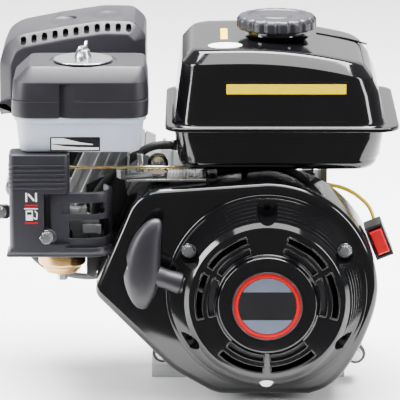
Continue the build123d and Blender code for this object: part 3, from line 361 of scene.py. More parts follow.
def joined(objects):
    """One mesh object from several."""
    work = bmesh.new()
    for obj in objects:
        obj.data.transform(obj.matrix_world)
        work.from_mesh(obj.data)
    mesh = bpy.data.meshes.new(objects[0].name)
    work.to_mesh(mesh)
    work.free()
    name = objects[0].name
    for obj in objects:
        bpy.data.objects.remove(obj)
    return link(bpy.data.objects.new(name, mesh))


def combine(obj, tool, operation="DIFFERENCE"):
    change = obj.modifiers.new("change", "BOOLEAN")
    change.object = tool
    change.operation = operation
    change.solver = "EXACT"
    applied(obj)
    bpy.data.objects.remove(tool)
    return obj


def shade(obj, angle):
    """Smooth shading that keeps edges sharper than angle crisp."""
    work = bmesh.new()
    work.from_mesh(obj.data)
    for face in work.faces:
        face.smooth = True
    for edge in work.edges:
        edge.smooth = len(edge.link_faces) != 2 or edge.calc_face_angle(0.0) < radians(angle)
    work.to_mesh(obj.data)
    work.free()


def piece(obj, body, slot, finish=None, replaces=(), angle=35):
    """Gives a finished mesh its shading, finish, body and the CAD nodes that it stands for."""
    shade(obj, angle)
    obj.data.materials.clear()
    obj.data.materials.append(finish or FINISHES[slot])
    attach(obj, body)
    if replaces:
        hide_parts(*replaces)
    return obj


def tube(name, points, r, sides=12, closed_ends=True):
    """A round bar along points in millimetres."""
    path = [Vector(p) for p in points]
    rings = []
    up = Vector((0, 0, 1)) if abs((path[1] - path[0]).normalized().z) < 0.9 else Vector((0, 1, 0))
    for i, p in enumerate(path):
        ahead = (path[min(i + 1, len(path) - 1)] - path[max(i - 1, 0)]).normalized()
        across = ahead.cross(up).normalized()
        up = across.cross(ahead)
        rings.append([tuple(p + (across * cos(2 * pi * k / sides) + up * sin(2 * pi * k / sides)) * r)
                      for k in range(sides)])
    return loft(name, rings, closed_ends, closed_ends)


# ---------------------------------------------------------- blower, starter
def blower_line():
    corners = soften([(0, 208.4), (-108, 201), (-124, 188), (-159, 104), (-86, 30), (-46, 7), (40, 7)], 9, 8)
    lower = [(40, 7), (54, 11.6), (68, 22.5), (79, 38), (88.6, 56), (96.5, 76), (101, 92),
             (BLOWER_R, CRANK_Z)]
    return arc(0, 90, BLOWER_R, 48, 0, CRANK_Z) + corners[1:] + soften(lower, 8, 5)[1:-1]


def make_blower_cover():
    line = blower_line()
    rings = [[(x, COVER_REAR, z) for x, z in line]]
    for inward, ahead in rounded_steps(7, 8):
        rings.append([(x, COVER_FRONT + 7 - ahead, z) for x, z in inset(line, inward)])
    outer = loft("blower_cover", rings)
    inner_line = inset(line, 1.8)
    rings = [[(x, COVER_REAR + 5, z) for x, z in inner_line]]
    for inward, ahead in rounded_steps(5, 4):
        rings.append([(x, COVER_FRONT + 6.8 - ahead, z) for x, z in inset(inner_line, inward)])
    combine(outer, loft("blower_hollow", rings))
    combine(outer, lathe("blower_mouth", [(80, -150), (80, -100)], segments=128, first=True, last=True))
    return outer


WALL_STEPS = 6
WALL_R = (88.9, 13.6)       # radius at the rear, and how much it narrows
WALL_Y = (-138.6, 34)       # rear end, and the length forwards


def recoil_wall():
    """Stepped wall: rings that narrow towards the front."""
    line = []
    for k in range(WALL_STEPS + 1):
        r = WALL_R[0] - WALL_R[1] * k / WALL_STEPS
        rear = WALL_Y[0] - WALL_Y[1] * max(k - 0.5, 0) / WALL_STEPS
        front = WALL_Y[0] - WALL_Y[1] * min(k + 0.5, WALL_STEPS) / WALL_STEPS
        line += [(r + 0.1, rear - 0.35), (r, front + 0.6), (r - 0.2, front + 0.15), (r - 0.65, front)]
    return line


def pocket_places():
    return [(BOLT_CIRCLE * cos(radians(a)), BOLT_CIRCLE * sin(radians(a))) for a in BOSS_ANGLES]


def y_post(name, x, z, r, y0, y1, segments=40):
    return lathe(name, [(r, y0), (r, y1)], about_y(x, CRANK_Z + z), segments, True, True)


def make_recoil_case():
    front = soften([(75.2, -173.2), (70.6, RECOIL_FRONT), (46.6, RECOIL_FRONT), (44.4, HUB_FRONT),
                    (0, HUB_FRONT)], 1.6, 4)
    profile = [(0, -135.4), (92.5, -135.4)] + soften([(92.5, -136), (92.2, -138.4), (89.2, -138.6)], 0.8, 3)
    profile += recoil_wall() + front
    case = lathe("recoil_case", profile, segments=240)
    places = pocket_places()
    combine(case, joined([y_post("pocket", x, z, 9.4, -182, -141.8) for x, z in places]))
    inside = [(0, -130), (86, -130), (86, -137), (72.6, -171), (69, -175.6), (45.6, -175.6), (42, -181.6),
              (0, -181.6)]
    hollow = lathe("recoil_hollow", inside, segments=120)
    combine(hollow, joined([y_post("wall", x, z, 10.8, -190, -120) for x, z in places]))
    combine(case, hollow)
    combine(case, joined([slot_cutter(slot) for slot in vent_slots()]))
    return combine(case, joined([y_post("bore", x, z, 3.2, -150, -130, 24) for x, z in places]))


def vent_slots():
    slots = []
    for middle in SLOT_ANGLES:
        for start, end in ((3, 43), (-43, -3)):
            slots += [(r0, r1, middle + start, middle + end) for r0, r1 in ((47.8, 54.2), (58.6, 65.2))]
    return slots


def slot_line(r0, r1, a0, a1):
    return soften(arc(a0, a1, r1, 16) + arc(a1, a0, r0, 16), 2.2, 3, closed=True)


def slot_cutter(slot):
    line = slot_line(*slot)
    return loft("slot", [[along_crank(x, z, y) for x, z in line] for y in (-182, -170)])


def slot_rims():
    """Raised bead round every air slot."""
    beads = []
    for slot in vent_slots():
        line = slot_line(*slot)
        path = [along_crank(x, z, RECOIL_FRONT + 0.3) for x, z in line + line[:2]]
        beads.append(tube("bead", path, 1.0, 10))
    return joined(beads)


def make_rope_outlet():
    turn = Matrix.Rotation(radians(PULL_ANGLE), 3, "Y")
    profile = soften([(4.3, -6), (8.2, -6), (8.2, 5), (6.6, 7), (4.3, 7)], 1.2, 4)

    def place(x, y, h):
        p = turn @ Vector((-h, x, y))
        return (OUTLET[0] + p.x, OUTLET[1] + p.y, OUTLET[2] + p.z)

    return lathe("rope_outlet", profile + [profile[0]], place, 48)


LUG_XZ = ((-96, 28), (85, 27), (-100, 211))
AIR_GUIDE = ((-127.5, 177.6), (-154.1, 113.8), (-160, 100), (-167, 104), (-167, 190), (-150, 199),
             (-131, 196), (-128.9, 182))     # sheet beside the cylinder, x and z


def add_starter():
    piece(make_blower_cover(), "engine", "black_paint", GLOSS, ("fan_cover",))
    piece(make_cover_lugs(), "engine", "black_paint", GLOSS)
    piece(make_recoil_case(), "engine", "black_paint", GLOSS, ("recoil_case",), 24)
    piece(slot_rims(), "engine", "black_paint", GLOSS, (), 60)
    piece(make_rope_outlet(), "engine", "black_plastic")
    guide = slab("air_guide", AIR_GUIDE, COVER_REAR - 0.6, COVER_REAR - 2.4, 0.3, 0.3)
    piece(guide, "engine", "black_paint")


def make_cover_lugs():
    """Ears on the rear rim of the fan cover."""
    lugs = []
    for x, z in LUG_XZ:
        line = [(9.5, COVER_REAR), (9.5, COVER_REAR - 3.4), (8.9, COVER_REAR - 4), (3.1, COVER_REAR - 4),
                (3.1, COVER_REAR), (9.5, COVER_REAR)]
        lugs.append(lathe("cover_lug", line, about_y(x, z), 48))
    return joined(lugs)


def ring_plate(name, r0, r1, front, thick=0.3):
    line = [(r0, front + thick), (r0, front + 0.06), (r0 + 0.1, front), (r1 - 0.1, front), (r1, front + 0.06),
            (r1, front + thick), (r0, front + thick)]
    return lathe(name, line)


def chord_plate(name, r, low, high, front):
    """Segment of a disc between two heights."""
    top = [(x, z) for x, z in arc(0, 360, r, 180) if low <= z <= high]
    right = sorted([p for p in top if p[0] > 0], key=lambda p: p[1])
    left = sorted([p for p in top if p[0] <= 0], key=lambda p: -p[1])
    edge = sqrt(r * r - low * low) if low > 0 else sqrt(r * r - high * high)
    level = low if low > 0 else high
    ends = [(edge, level), (-edge, level)]
    line = ends[:1] + right + left + ends[1:] if low > 0 else right + ends + left
    return loft(name, [[along_crank(x, z, y) for x, z in line] for y in (front, front + 0.3)])


def add_badge():
    front = HUB_FRONT - 1.2
    print_face = front - 0.12
    dome = soften([(0, HUB_FRONT + 0.2), (31.9, HUB_FRONT + 0.2), (31.9, front - 0.1), (31.2, front - 0.4),
                   (30.9, front), (0, front)], 0.3, 3)
    piece(lathe("badge_plate", dome), "engine", "badge_print", None, ("badge",))
    piece(ring_plate("badge_rim", 29.9, 30.7, print_face), "engine", "badge_print", PRINT_RED)
    piece(ring_plate("badge_ring", 26.6, 29.3, print_face), "engine", "badge_print", PRINT_RED)
    piece(chord_plate("badge_top", 26.0, 13.2, 26.0, print_face), "engine", "badge_print", PRINT_BLUE)
    piece(chord_plate("badge_foot", 26.0, -26.0, -13.0, print_face), "engine", "badge_print", PRINT_BLUE)


def handle_place(x, z, y):
    """Local pull direction x and cross direction z of the starter grip."""
    a = radians(PULL_ANGLE)
    return (OUTLET[0] - x * cos(a) - z * sin(a), OUTLET[1] + y, OUTLET[2] + x * sin(a) - z * cos(a))


GRIP_ROWS = (              # height, outer edge, inner edge, half thickness
    (97.0, -115.0, -111.0, 2.0),
    (99.0, -119.0, -108.5, 5.0),
    (104.0, -123.0, -105.5, 8.5),
    (112.0, -126.8, -101.0, 11.0),
    (123.0, -130.0, -97.8, 12.6),
    (134.0, -130.2, -97.2, 13.0),
    (146.0, -128.0, -97.0, 12.4),
    (157.0, -124.6, -96.6, 11.2),
    (167.0, -119.4, -95.9, 9.6),
    (174.0, -114.0, -95.4, 7.6),
    (179.0, -108.4, -96.2, 5.0),
    (181.2, -104.0, -98.6, 2.0),
)


def between_rows(rows, steps):
    """Puts smooth rows between the given rows of numbers."""
    out = []
    for k in range(len(rows) - 1):
        before, after = rows[max(k - 1, 0)], rows[min(k + 2, len(rows) - 1)]
        low, high = rows[k], rows[k + 1]
        for j in range(steps):
            t = j / steps
            out.append(tuple(0.5 * (2 * q + (r - p) * t + (2 * p - 5 * q + 4 * r - w) * t ** 2
                                    + (3 * q - p - 3 * r + w) * t ** 3)
                             for p, q, r, w in zip(before, low, high, after)))
    return out + [rows[-1]]


def squared(value, power):
    return copysign(abs(value) ** power, value)


def along_pull(x, y, h):
    """Places a turned part about the line of pull."""
    return handle_place(h, x, y)


def make_grip():
    rings = []
    turns = [tau * k / 48 for k in range(48)]
    for z, outer, inner, deep in between_rows(GRIP_ROWS, 5):
        middle, half = (outer + inner) / 2, (inner - outer) / 2
        rings.append([(middle + half * squared(cos(a), 0.8), OUTLET[1] + deep * squared(sin(a), 0.8), z)
                      for a in turns])
    grip = loft("starter_grip", rings)
    stem = soften([(0, 0.5), (8.4, 0.5), (9.6, 2), (9.5, 6), (8.7, 16), (10, 28), (0, 32)], 2.0, 5)
    combine(grip, lathe("stem", stem, along_pull, 48), "UNION")
    pocket = soften([(0, 43), (5.6, 43), (7.4, 47), (9.6, 56), (10, 64), (0, 64)], 1.0, 3)
    return combine(grip, lathe("pocket", pocket, along_pull, 40))


def make_rope():
    """Twisted rope from inside the starter to its knot in the grip."""
    def strand(r, a, h):
        return r * (1 + 0.13 * sin(3 * a + h * 1.6))

    line = [(0, -20)] + [(2.05, -20 + 0.75 * k) for k in range(94)] + [(0, 50)]
    return lathe("rope", line, along_pull, 24, radius=strand)


def add_handle():
    piece(make_grip(), "pull_handle", "soft_black", None, ("starter_handle",), 40)
    knot = soften([(0, 44), (4.3, 45), (4.9, 48.5), (3.8, 52), (0, 53)], 1.6, 4)
    twist = lathe("rope_knot", knot, along_pull, 32,
                  radius=lambda r, a, h: r * (1 + 0.1 * sin(5 * a + 2 * h)))
    piece(twist, "pull_handle", "rope_cord")
    rope = make_rope()
    shade(rope, 60)
    rope.data.materials.append(FINISHES["rope_cord"])
    start, end = handle_place(-18, 0, 0), handle_place(26, 0, 0)
    [c * MM for c in start]
    [c * MM for c in end]
    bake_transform(rope)
    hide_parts("starter_rope")


# --------------------------------------------------------------------- tank
WALL_RISE = 83              # height over which the tank walls lean in
LEAN = (10, 14, 9)          # by how much: left, right, front and rear


def tank_top(x):
    """Height of the tank's crown, which falls to the left a little and to the right more."""
    if x > -20:
        return 326.5 + sqrt(420.0 ** 2 - (x + 20) ** 2) - 420.0
    return 326.5 - 1.5 * (x + 20) ** 2 / 3600


def tank_ring(inward, depth, crown=None, corner=24.0):
    x0, x1, y0, y1 = TANK
    left, right, across = LEAN
    t = max(0.0, (depth - SEAM_Z) / WALL_RISE)
    line = round_rect(x0 + left * t + inward, x1 - right * t - inward, y0 + across * t + inward,
                      y1 - across * t - inward, max(3.0, corner - 0.7 * inward), 10, 12)
    if crown is None:
        return [(x, y, depth) for x, y in line]
    return [(x, y, tank_top(x) - crown) for x, y in line]


def make_tank_upper():
    rings = [tank_ring(-4.5, SEAM_Z + 0.8), tank_ring(-2.2, SEAM_Z + 1.6), tank_ring(-0.7, SEAM_Z + 3.4),
             tank_ring(0, SEAM_Z + 6.5), tank_ring(0, SEAM_Z + 30)]
    for inward, crown in ((0, 13.0), (0.1, 11.8), (0.5, 11.0), (1.1, 10.3), (8.4, 2.4), (9.3, 1.6),
                          (10.4, 1.0), (12.2, 0.4), (14.5, 0.05)):
        rings.append(tank_ring(inward, 315, crown))
    for k in range(1, 9):
        rings.append(tank_ring(14.5 + 8 * k, 315, 0.0))
    return loft("tank_upper_shell", rings, True, True)


def make_tank_lower():
    x0, x1, y0, y1 = TANK
    rings = []
    for inward, z in ((0.0, SEAM_Z - 1), (1.2, 246), (3.0, 228)):
        line = round_rect(x0 + inward, x1 - 1.3 * inward, y0 + inward, y1 - inward, 24, 10)
        rings.append([(x, y, z) for x, y in line])
    for inward, ahead in rounded_steps(10, 8):
        line = round_rect(x0 + 4 + inward, x1 - 6 - inward, y0 + 3.4 + inward, y1 - 3.4 - inward,
                          24 - inward, 10)
        rings.append([(x, y, TANK_FLOOR + 10 - ahead) for x, y in line])
    return loft("tank_lower_shell", rings)


def make_seam():
    x0, x1, y0, y1 = FLANGE
    rings = []
    for inward, z in ((5, -1.9), (0.6, -1.9), (0.1, -1.6), (0, -1.0), (0, -0.3), (0.5, -0.1),
                      (0.5, 0.1), (0, 0.3), (0, 1.0), (0.1, 1.5), (0.6, 1.8), (5, 1.8)):
        line = round_rect(x0 + inward, x1 - inward, y0 + inward, y1 - inward, 18 - inward, 10)
        rings.append([(x, y, SEAM_Z + z) for x, y in line])
    return loft("tank_seam", rings)


def make_neck():
    line = soften([(31, 326.2), (27.5, 327.4), (26.4, 329), (26.4, 333), (25.4, 334.4), (21, 334.4),
                   (21, 322)], 0.8, 4)
    return lathe("filler_neck", line + [(26, 322), (31, 326.2)], about_z(*CAP_XY), 96)


def make_cap():
    z0, z1 = CAP_Z
    skin = [(34.8, z0), (37, z0 + 1), (37, z1 - 3.2), (34.5, z1 - 0.4), (27.5, z1), (26, z1 - 1.4),
            (15, z1 - 1.4), (13.6, z1 - 0.3), (0, z1 - 0.1)]
    line = [(24, z0 + 4)] + soften(skin, 1.8, 5)

    def lobed(r, a, _):
        groove = abs(sin(9 * a)) ** 6
        fade = min(1.0, max(0.0, (r - 29) / 5))
        return r - 1.7 * groove * fade

    return lathe("fuel_cap_shell", line, about_z(*CAP_XY), 360, True, False, lobed)


def tank_front(z):
    return TANK[2] + LEAN[2] * (z - SEAM_Z) / WALL_RISE


def leaning_plate(name, x0, x1, z0, z1, r, lift=0.25):
    """Sticker on the tank's front wall, following its lean."""
    line = round_rect(x0, x1, z0, z1, r, 4)
    rings = []
    for out in (0.1, -lift):
        rings.append([(x, tank_front(z) + out, z) for x, z in line])
    return loft(name, rings)


NOTICE_LINES = ((-39, 74, 262.5), (-39, 74, 299.0))


def crown_plate(name, outline, lift=0.25):
    """Sticker lying on the tank's crown."""
    rings = [[(x, y, tank_top(x) + up) for x, y in outline] for up in (-0.2, lift)]
    return loft(name, rings)


def add_top_labels():
    oval = [(-38 + 15.5 * cos(2 * pi * k / 40), -86 + 13 * sin(2 * pi * k / 40)) for k in range(40)]
    piece(crown_plate("tank_tag", oval), "engine", "badge_print", PRINT_WHITE)
    patch = round_rect(-42, -35.5, -58, -8, 0.8, 3, 2)
    piece(crown_plate("tank_patch", patch), "engine", "badge_print", PRINT_YELLOW)
    groove = round_rect(48, 96, -4, -1, 1.2, 3, 10)
    piece(crown_plate("tank_bead", groove, 0.9), "engine", "black_paint", GLOSS)


def add_tank():
    piece(make_tank_upper(), "engine", "black_paint", GLOSS, ("tank_upper",), 50)
    piece(make_tank_lower(), "engine", "black_paint", GLOSS, ("tank_lower",), 50)
    piece(make_seam(), "engine", "black_paint", GLOSS, (), 50)
    piece(make_neck(), "engine", "black_paint", GLOSS)
    piece(make_cap(), "cap", "black_plastic", None, ("fuel_cap",), 50)
    spout = lathe("tank_spout", soften([(3, 0), (5, 0), (5, 5), (4.2, 9), (3, 9)], 0.5, 3) + [(3, 0)],
                  lambda a, b, h: (-79 - h, -70 + a, 229 + b), 32)
    piece(spout, "engine", "black_paint", GLOSS)
    piece(leaning_plate("tank_notice", -37, 72, 288.2, 297.2, 0.6), "engine", "badge_print", PRINT_YELLOW)
    lines = [leaning_plate("notice_line", x0, x1, z, z + 0.5, 0.2) for x0, x1, z in NOTICE_LINES]
    piece(joined(lines), "engine", "badge_print")
    add_top_labels()


# --------------------------------------------------------- cleaner and intake
def box_rings(x0, x1, y0, y1, steps, corner):
    """Rings of a rounded box: (inward, z) steps."""
    return [[(x, y, z) for x, y in round_rect(x0 + i, x1 - i, y0 + i, y1 - i, max(1.0, corner - i), 8)]
            for i, z in steps]


def sided_ring(left, right, front, rear, z, corner):
    """Rounded rectangle of the air cleaner, drawn in by its own amount on each side."""
    x0, x1, y0, y1 = CLEANER
    return [(x, y, z) for x, y in round_rect(x0 + left, x1 - right, y0 + front, y1 - rear, corner, 8)]


COVER_STEPS = (            # drawn in at left, right, front and rear; height; corner
    (1.5, 1.5, 1.5, 1.5, 268.6, 16),
    (0.2, 0.2, 0.2, 0.2, 268.8, 17),
    (0, 0, 0, 0, 269.6, 17),
    (0.6, 0.3, 0.2, 0.3, 283.6, 17),
    (1.3, 0.9, 0.8, 0.9, 284.0, 17),
    (1.3, 0.9, 0.8, 0.9, 284.9, 17),
    (0.7, 0.4, 0.3, 0.4, 285.3, 17),
    (2.2, 1.0, 1.0, 1.0, 300.6, 16),
    (2.8, 1.2, 1.5, 1.4, 301.6, 15),
    (14.6, 3.4, 12.6, 8.5, 312.6, 9),
    (15.6, 4.4, 13.8, 9.8, 313.5, 8),
    (17.5, 6.0, 16, 12, COVER_TOP, 7),
)


def make_cleaner_cover():
    cover = loft("cleaner_shell", [sided_ring(*step) for step in COVER_STEPS])
    front = CLEANER[2]
    wedge = [[(-188.8, front - 4, z), (-188.8, front + 3.0 + lean, z), (-175.5, front + lean, z),
              (-150, front - 4, z)] for z, lean in ((262, 0.0), (300, 1.0))]
    combine(cover, loft("scoop", wedge))
    seat = soften([(0, 313.0), (30, 313.0), (32, 316), (0, 316)], 0.8, 3)
    return combine(cover, lathe("dish", seat, about_z(*STUD_XY), 96))


def make_cleaner_base():
    x0, x1, y0, y1 = CLEANER
    steps = [(16.0, 235.6), (11.0, 235.0), (8.4, 236.2), (6.8, 239.0), (4.4, 262.0), (4.2, 263.5),
             (2.6, 264.3), (2.0, 265.2), (2.0, 268.0), (3.0, 268.8)]
    return loft("cleaner_tray", box_rings(x0, x1, y0, y1, steps, 17))


def tray_plate(name, outline, lift):
    """Sticker on the front of the tray, following its lean."""
    rings = []
    for out in (0.15, -lift):
        rings.append([(x, CLEANER[2] + 6.8 - 2.4 * (z - 239) / 23 + out, z) for x, z in outline])
    return loft(name, rings)


WING_TURN = 80.0


def make_wing_nut():
    hub = soften([(3.1, 2.1), (8.2, 2.1), (8.0, 4), (5.6, 10), (3.1, 10)], 0.8, 4)
    base = [(r, COVER_TOP + h) for r, h in hub]
    parts = [lathe("wing_nut_shell", base + [base[0]], about_z(*STUD_XY), 48)]
    turn = radians(WING_TURN)

    def place(x, z, y):
        return (STUD_XY[0] + x * cos(turn) - y * sin(turn), STUD_XY[1] + x * sin(turn) + y * cos(turn), z)

    for side in (-1, 1):
        line = [(4.5, 3.0), (10, 4.2), (16.5, 8.5), (18.3, 13.5), (14.8, 16), (9.5, 14), (5.5, 9.5)]
        line = soften([(side * x, COVER_TOP + z) for x, z in line], 4, 5, closed=True)
        parts.append(slab("wing", line, 1.3, -1.3, 1.0, 1.0, place))
    return joined(parts)


def make_wing_washer():
    line = soften([(3.4, 0.4), (27, 0.4), (27, 1.6), (24, 2.0), (12, 1.9), (9, 2.2), (3.4, 2.2)], 0.5, 3)
    profile = [(r, COVER_TOP + h) for r, h in line]
    return lathe("cleaner_washer", profile + [profile[0]], about_z(*STUD_XY), 96)


def shell_box(name, x0, x1, y0, y1, z0, z1, corner, r):
    """Rounded box: upright corners of one radius, top and bottom rims of another."""
    steps = [(i, z0 + r - a) for i, a in reversed(rounded_steps(r, 4))]
    steps += [(i, z1 - r + a) for i, a in rounded_steps(r, 4)]
    return loft(name, box_rings(x0, x1, y0, y1, steps, corner))


def make_intake():
    body = shell_box("intake_body", -235.5, -180.5, -133.5, -104, 141, 234.5, 6, 2.0)
    combine(body, shell_box("recess", -203.4, -170, -140, -129.0, 150, 198, 1.5, 1.2))
    combine(body, shell_box("slot", -203.4, -198.2, -140, -122.0, 163.5, 197, 1.2, 1.0))
    combine(body, shell_box("hollow", -233, -183, -120, -100, 143.5, 230, 4, 1.0))
    return body


def make_intake_ribs():
    """Fine horizontal ribs across the upper front, wrapping its left corner."""
    ribs = []
    for k in range(6):
        z = 202.6 + 4.2 * k
        steps = [(1.2, z - 0.6), (0.2, z - 0.2), (0.2, z + 1.0), (1.2, z + 1.4)]
        rings = [[(x, y, h) for x, y in round_rect(-236.3 + i, -180.8 - i, -134.4 + i, -106 - i, 6, 8)]
                 for i, h in steps]
        ribs.append(loft("intake_ribs", rings))
    return joined(ribs)


SURROUND = (-197.0, -141.5, -130.0, -98.0)


def surround_line(inward):
    """Plan outline of the carburettor surround: square at the left, round at the right."""
    x0, x1, y0, y1 = SURROUND
    left = [(x0 + inward, y1 - inward), (x0 + inward, y0 + inward)]
    nose = arc(-90, 60, 21 - inward, 24, x1 - 21, y0 + 21)
    return left + nose + [(x1 - 16, y1 - inward)]


def make_carb_surround():
    steps = ((1.0, 139.8), (0.2, 140.2), (0.0, 141.0), (0.0, 196.6), (0.3, 197.6), (1.2, 198.2))
    wall = loft("carb_surround", [[(x, y, z) for x, y in surround_line(i)] for i, z in steps])
    combine(wall, loft("hollow", [[(x, y, z) for x, y in surround_line(2.4)] for z in (142.5, 205)]))
    combine(wall, shell_box("window", -188, -148, -150, -116, 177.5, 188.5, 3, 2.4))
    combine(wall, shell_box("window", -181, -143.5, -150, -108, 155, 172.5, 3, 2.4))
    combine(wall, shell_box("rear", -205, -150, -108, -90, 120, 210, 2, 1.0))
    return wall


def make_flare():
    """Flared lower rim shared by the intake and the carburettor surround."""
    steps = ((0.6, 146.5), (0.0, 144.0), (-1.2, 142.2), (-2.6, 140.6), (-2.8, 139.6), (-2.0, 138.8),
             (2.0, 139.0))
    rings = []
    for i, z in steps:
        line = [(-235.5 + i, -104.0), (-235.5 + i, -133.5 + i)]
        line += arc(-90, 40, 21 - i, 24, SURROUND[1] - 21, -112.5)
        rings.append([(x, y, z) for x, y in soften(line, 2.0, 3, closed=True)])
    return loft("intake_flare", rings)


def make_nut_boss():
    line = soften([(7.6, -122), (7.6, -130.8), (5.0, -132), (0, -132)], 1.2, 4)
    return lathe("nut_boss", line, about_y(-199.5, 156.5), 48, True)


def add_intake():
    piece(make_cleaner_cover(), "cleaner_lid", "soft_black", None, ("cleaner_cover",), 50)
    piece(make_cleaner_base(), "engine", "milky_plastic", None, ("cleaner_base",), 50)
    piece(make_wing_washer(), "cleaner_lid", "zinc_steel", None, ("wing_washer",))
    piece(make_wing_nut(), "nut_turn", "zinc_steel", None, ("wing_nut",))
    add_speed_label()
    piece(make_intake(), "engine", "black_plastic", None, ("intake_shroud",), 40)
    piece(make_intake_ribs(), "engine", "black_plastic", None, (), 40)
    piece(make_carb_surround(), "engine", "black_plastic", None, (), 40)
    piece(make_flare(), "engine", "black_plastic", None, (), 50)
    piece(make_nut_boss(), "engine", "black_plastic", None, (), 40)
    lug = round_rect(-250.2, -236.0, 170.5, 183.5, 2.5)
    piece(slab("intake_side_lug", lug, -113, -118, 0.6), "engine", "black_plastic")
    add_lever_marks()


def add_speed_label():
    """Black strip with two opposed white wedges on the tray."""
    strip = round_rect(-197.5, -152, 236.6, 250, 0.6, 3)
    piece(tray_plate("speed_strip", strip, 0.2), "engine", "badge_print")
    wedges = [[(-196.3, 249), (-186, 249), (-170, 245), (-158.5, 243.4), (-158.5, 242.6), (-175, 243),
               (-196.3, 243.6)],
              [(-196.3, 237.8), (-153.2, 237.8), (-153.2, 240.2), (-172, 240.4), (-184, 241.2),
               (-196.3, 243.2)]]
    plates = [tray_plate("speed_wedge", line, 0.35) for line in wedges]
    piece(joined(plates), "engine", "badge_print", PRINT_WHITE)


def add_lever_marks():
    """Generic choke and fuel marks on the intake front."""
    front = -133.5
    whites = [mark_plate(*sides) for sides in ((-220.3, -218.6, 190.5, 199), (-211.4, -209.7, 190.5, 199),
                                               (-221.5, -209, 183.6, 184.6), (-220, -213.6, 173, 182.4))]
    blade = [(-218.4, 197.4), (-217, 198.4), (-211.6, 192), (-213, 191)]
    hose = [(-213, 175), (-211.8, 174), (-209.6, 174), (-209.2, 180), (-211.6, 182.6), (-212, 181.6),
            (-210.4, 179.6), (-210.6, 175.2), (-211.6, 175.2), (-213, 176.4)]
    whites += [slab("mark", line, front + 0.2, front - 0.2, 0.05, 0.05) for line in (blade, hose)]
    piece(joined(whites), "engine", "badge_print", PRINT_WHITE)
    reds = [mark_plate(-221, -209, z, z + 1.5) for z in (186.4, 169.8)]
    piece(joined(reds), "engine", "badge_print", PRINT_RED)
    piece(mark_plate(-219, -214.6, 178.4, 181.0, 0.3), "engine", "badge_print")


def mark_plate(x0, x1, z0, z1, lift=0.2):
    return slab("mark", round_rect(x0, x1, z0, z1, 0.3, 3), -133.3, -133.5 - lift, 0.08, 0.05)


def make_bowl():
    line = soften([(0, 109.2), (6, 109.2), (7, 111), (15.5, 112.2), (18, 117), (18.6, 118.4), (21.4, 120),
                   (22, 121.4), (22.2, 134), (0, 134)], 1.4, 4)
    return lathe("bowl_shell", line, about_z(-189, -82), 120)


# ------------------------------------------------------------------- muffler
def muffler_line():
    x0, x1, _, _, z0, z1 = MUFFLER
    corners = [(x0, z0 - 9), (x0 + 9, z0), (x1, z0), (x1, z1 - 12), (x1 - 12, z1 - 0.5), (x1 - 40, z1 + 0.2),
               (x0 + 60, z1 - 5.5), (x0 + 19, z1 - 13.5), (x0 + 7, z1 - 21), (x0, z1 - 38)]
    return soften(corners, 6, 6, closed=True)


def muffler_top(x):
    """Height of the shield's crown, falling to the left."""
    x0, x1, _, _, _, z1 = MUFFLER
    knots = ((x0 + 19, z1 - 13.5), (x0 + 60, z1 - 5.5), (x1 - 40, z1 + 0.2), (x1 - 12, z1 - 0.5))
    for (a, za), (b, zb) in zip(knots, knots[1:]):
        if x <= b:
            return za + (zb - za) * (x - a) / (b - a)
    return knots[-1][1]


def make_muffler_cover():
    x0, x1, y0, y1, _, z1 = MUFFLER
    line = muffler_line()
    steps = [(2.5, y1), (0.6, y1 - 0.8), (0.0, y1 - 3), (0.0, y0 + 11.6), (0.2, y0 + 10.8), (0.8, y0 + 9.9),
             (9.6, y0 + 1.2), (10.4, y0 + 0.5), (11.6, y0 + 0.1), (13, y0)]
    cover = loft("muffler_shield", [[(x, y, z) for x, z in inset(line, i)] for i, y in steps])
    slots = [slope_slot(x0 + 23 + 9.9 * k) for k in range(11)]
    slots += [louvre(Vector((x1 - 4.2, z1 - 4.2)), 16 + 9 * k) for k in range(8)]
    combine(cover, joined(slots))
    return combine(cover, joined([dish(x0 + 55, 46, 17), dish(x0 + 97, 40, 20)]))


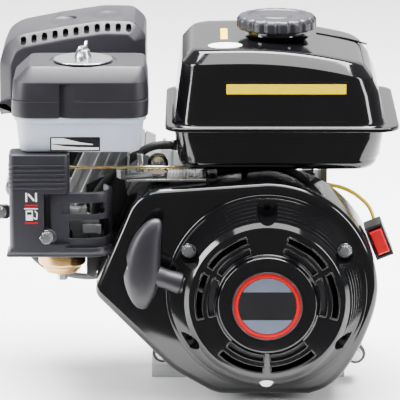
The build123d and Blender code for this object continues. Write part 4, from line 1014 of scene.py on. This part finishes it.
def dish(x, y, r):
    """Shallow round dent in the shield's crown."""
    z = muffler_top(x)
    line = [(0, z - 3.2), (0.35 * r, z - 2.9), (0.7 * r, z - 1.6), (0.9 * r, z - 0.4), (r, z + 1.2),
            (r, z + 6), (0, z + 6)]
    return lathe("dent", soften(line, 2.5, 4), about_z(x, y), 64)


SLANT = 0.7071             # sine and cosine of 45 degrees


def slope_slot(x):
    """Upright oval slot through the sloping front band of the shield."""
    z = muffler_top(x) - 5.4
    y = MUFFLER[2] + 5.5
    rings = []
    for deep in (6.0, -5.0):
        rings.append([(x + u, y + (v + deep) * SLANT, z + (v - deep) * SLANT)
                      for u, v in round_rect(-2.5, 2.5, -4.9, 4.9, 2.45, 5)])
    return loft("slot", rings)


def louvre(middle, y):
    """Slanted slot across the right-hand shoulder of the shield."""
    rings = []
    for out in (-4, 8):
        ring = []
        for u, v in round_rect(-6.5, 6.5, -1.3, 1.3, 1.25, 5):
            x = middle.x + (u + out) * SLANT
            z = middle.y + (-u + out) * SLANT
            ring.append((x, y + v + 0.7 * u, z))
        rings.append(ring)
    return loft("louvre", rings)


def make_spring():
    turns, length, start = 17, 50.0, -111.5
    steps = turns * 14
    points = [(start + length * k / steps, -84 + 2.2 * cos(2 * pi * turns * k / steps),
               211 + 2.2 * sin(2 * pi * turns * k / steps)) for k in range(steps + 1)]
    return tube("governor_coil", points, 0.42, 8)


def add_rest():
    piece(make_bowl(), "engine", "gold_bowl", None, ("float_bowl",), 40)
    piece(make_muffler_cover(), "engine", "heat_black", None, ("muffler_cover",), 40)
    piece(make_spring(), "engine", "zinc_steel", None, ("governor_spring",), 60)


def add_floor():
    side, near, far = 4.0, -0.32, 4.0
    points = [(-side, near), (side, near), (side, far), (-side, far)]
    floor = mesh_object("floor", [(x / MM, y / MM, -0.5) for x, y in points], [(0, 1, 2, 3)])
    pale = surface("floor_paint", (0.93, 0.93, 0.93), (0.95, 0.95, 0.95), 0.8, 0.05, patch=0.4, grain=0.02,
                   grain_size=0.01)
    floor.data.materials.append(pale)


add_starter()
add_badge()
add_handle()
add_tank()
add_intake()
add_rest()
add_floor()
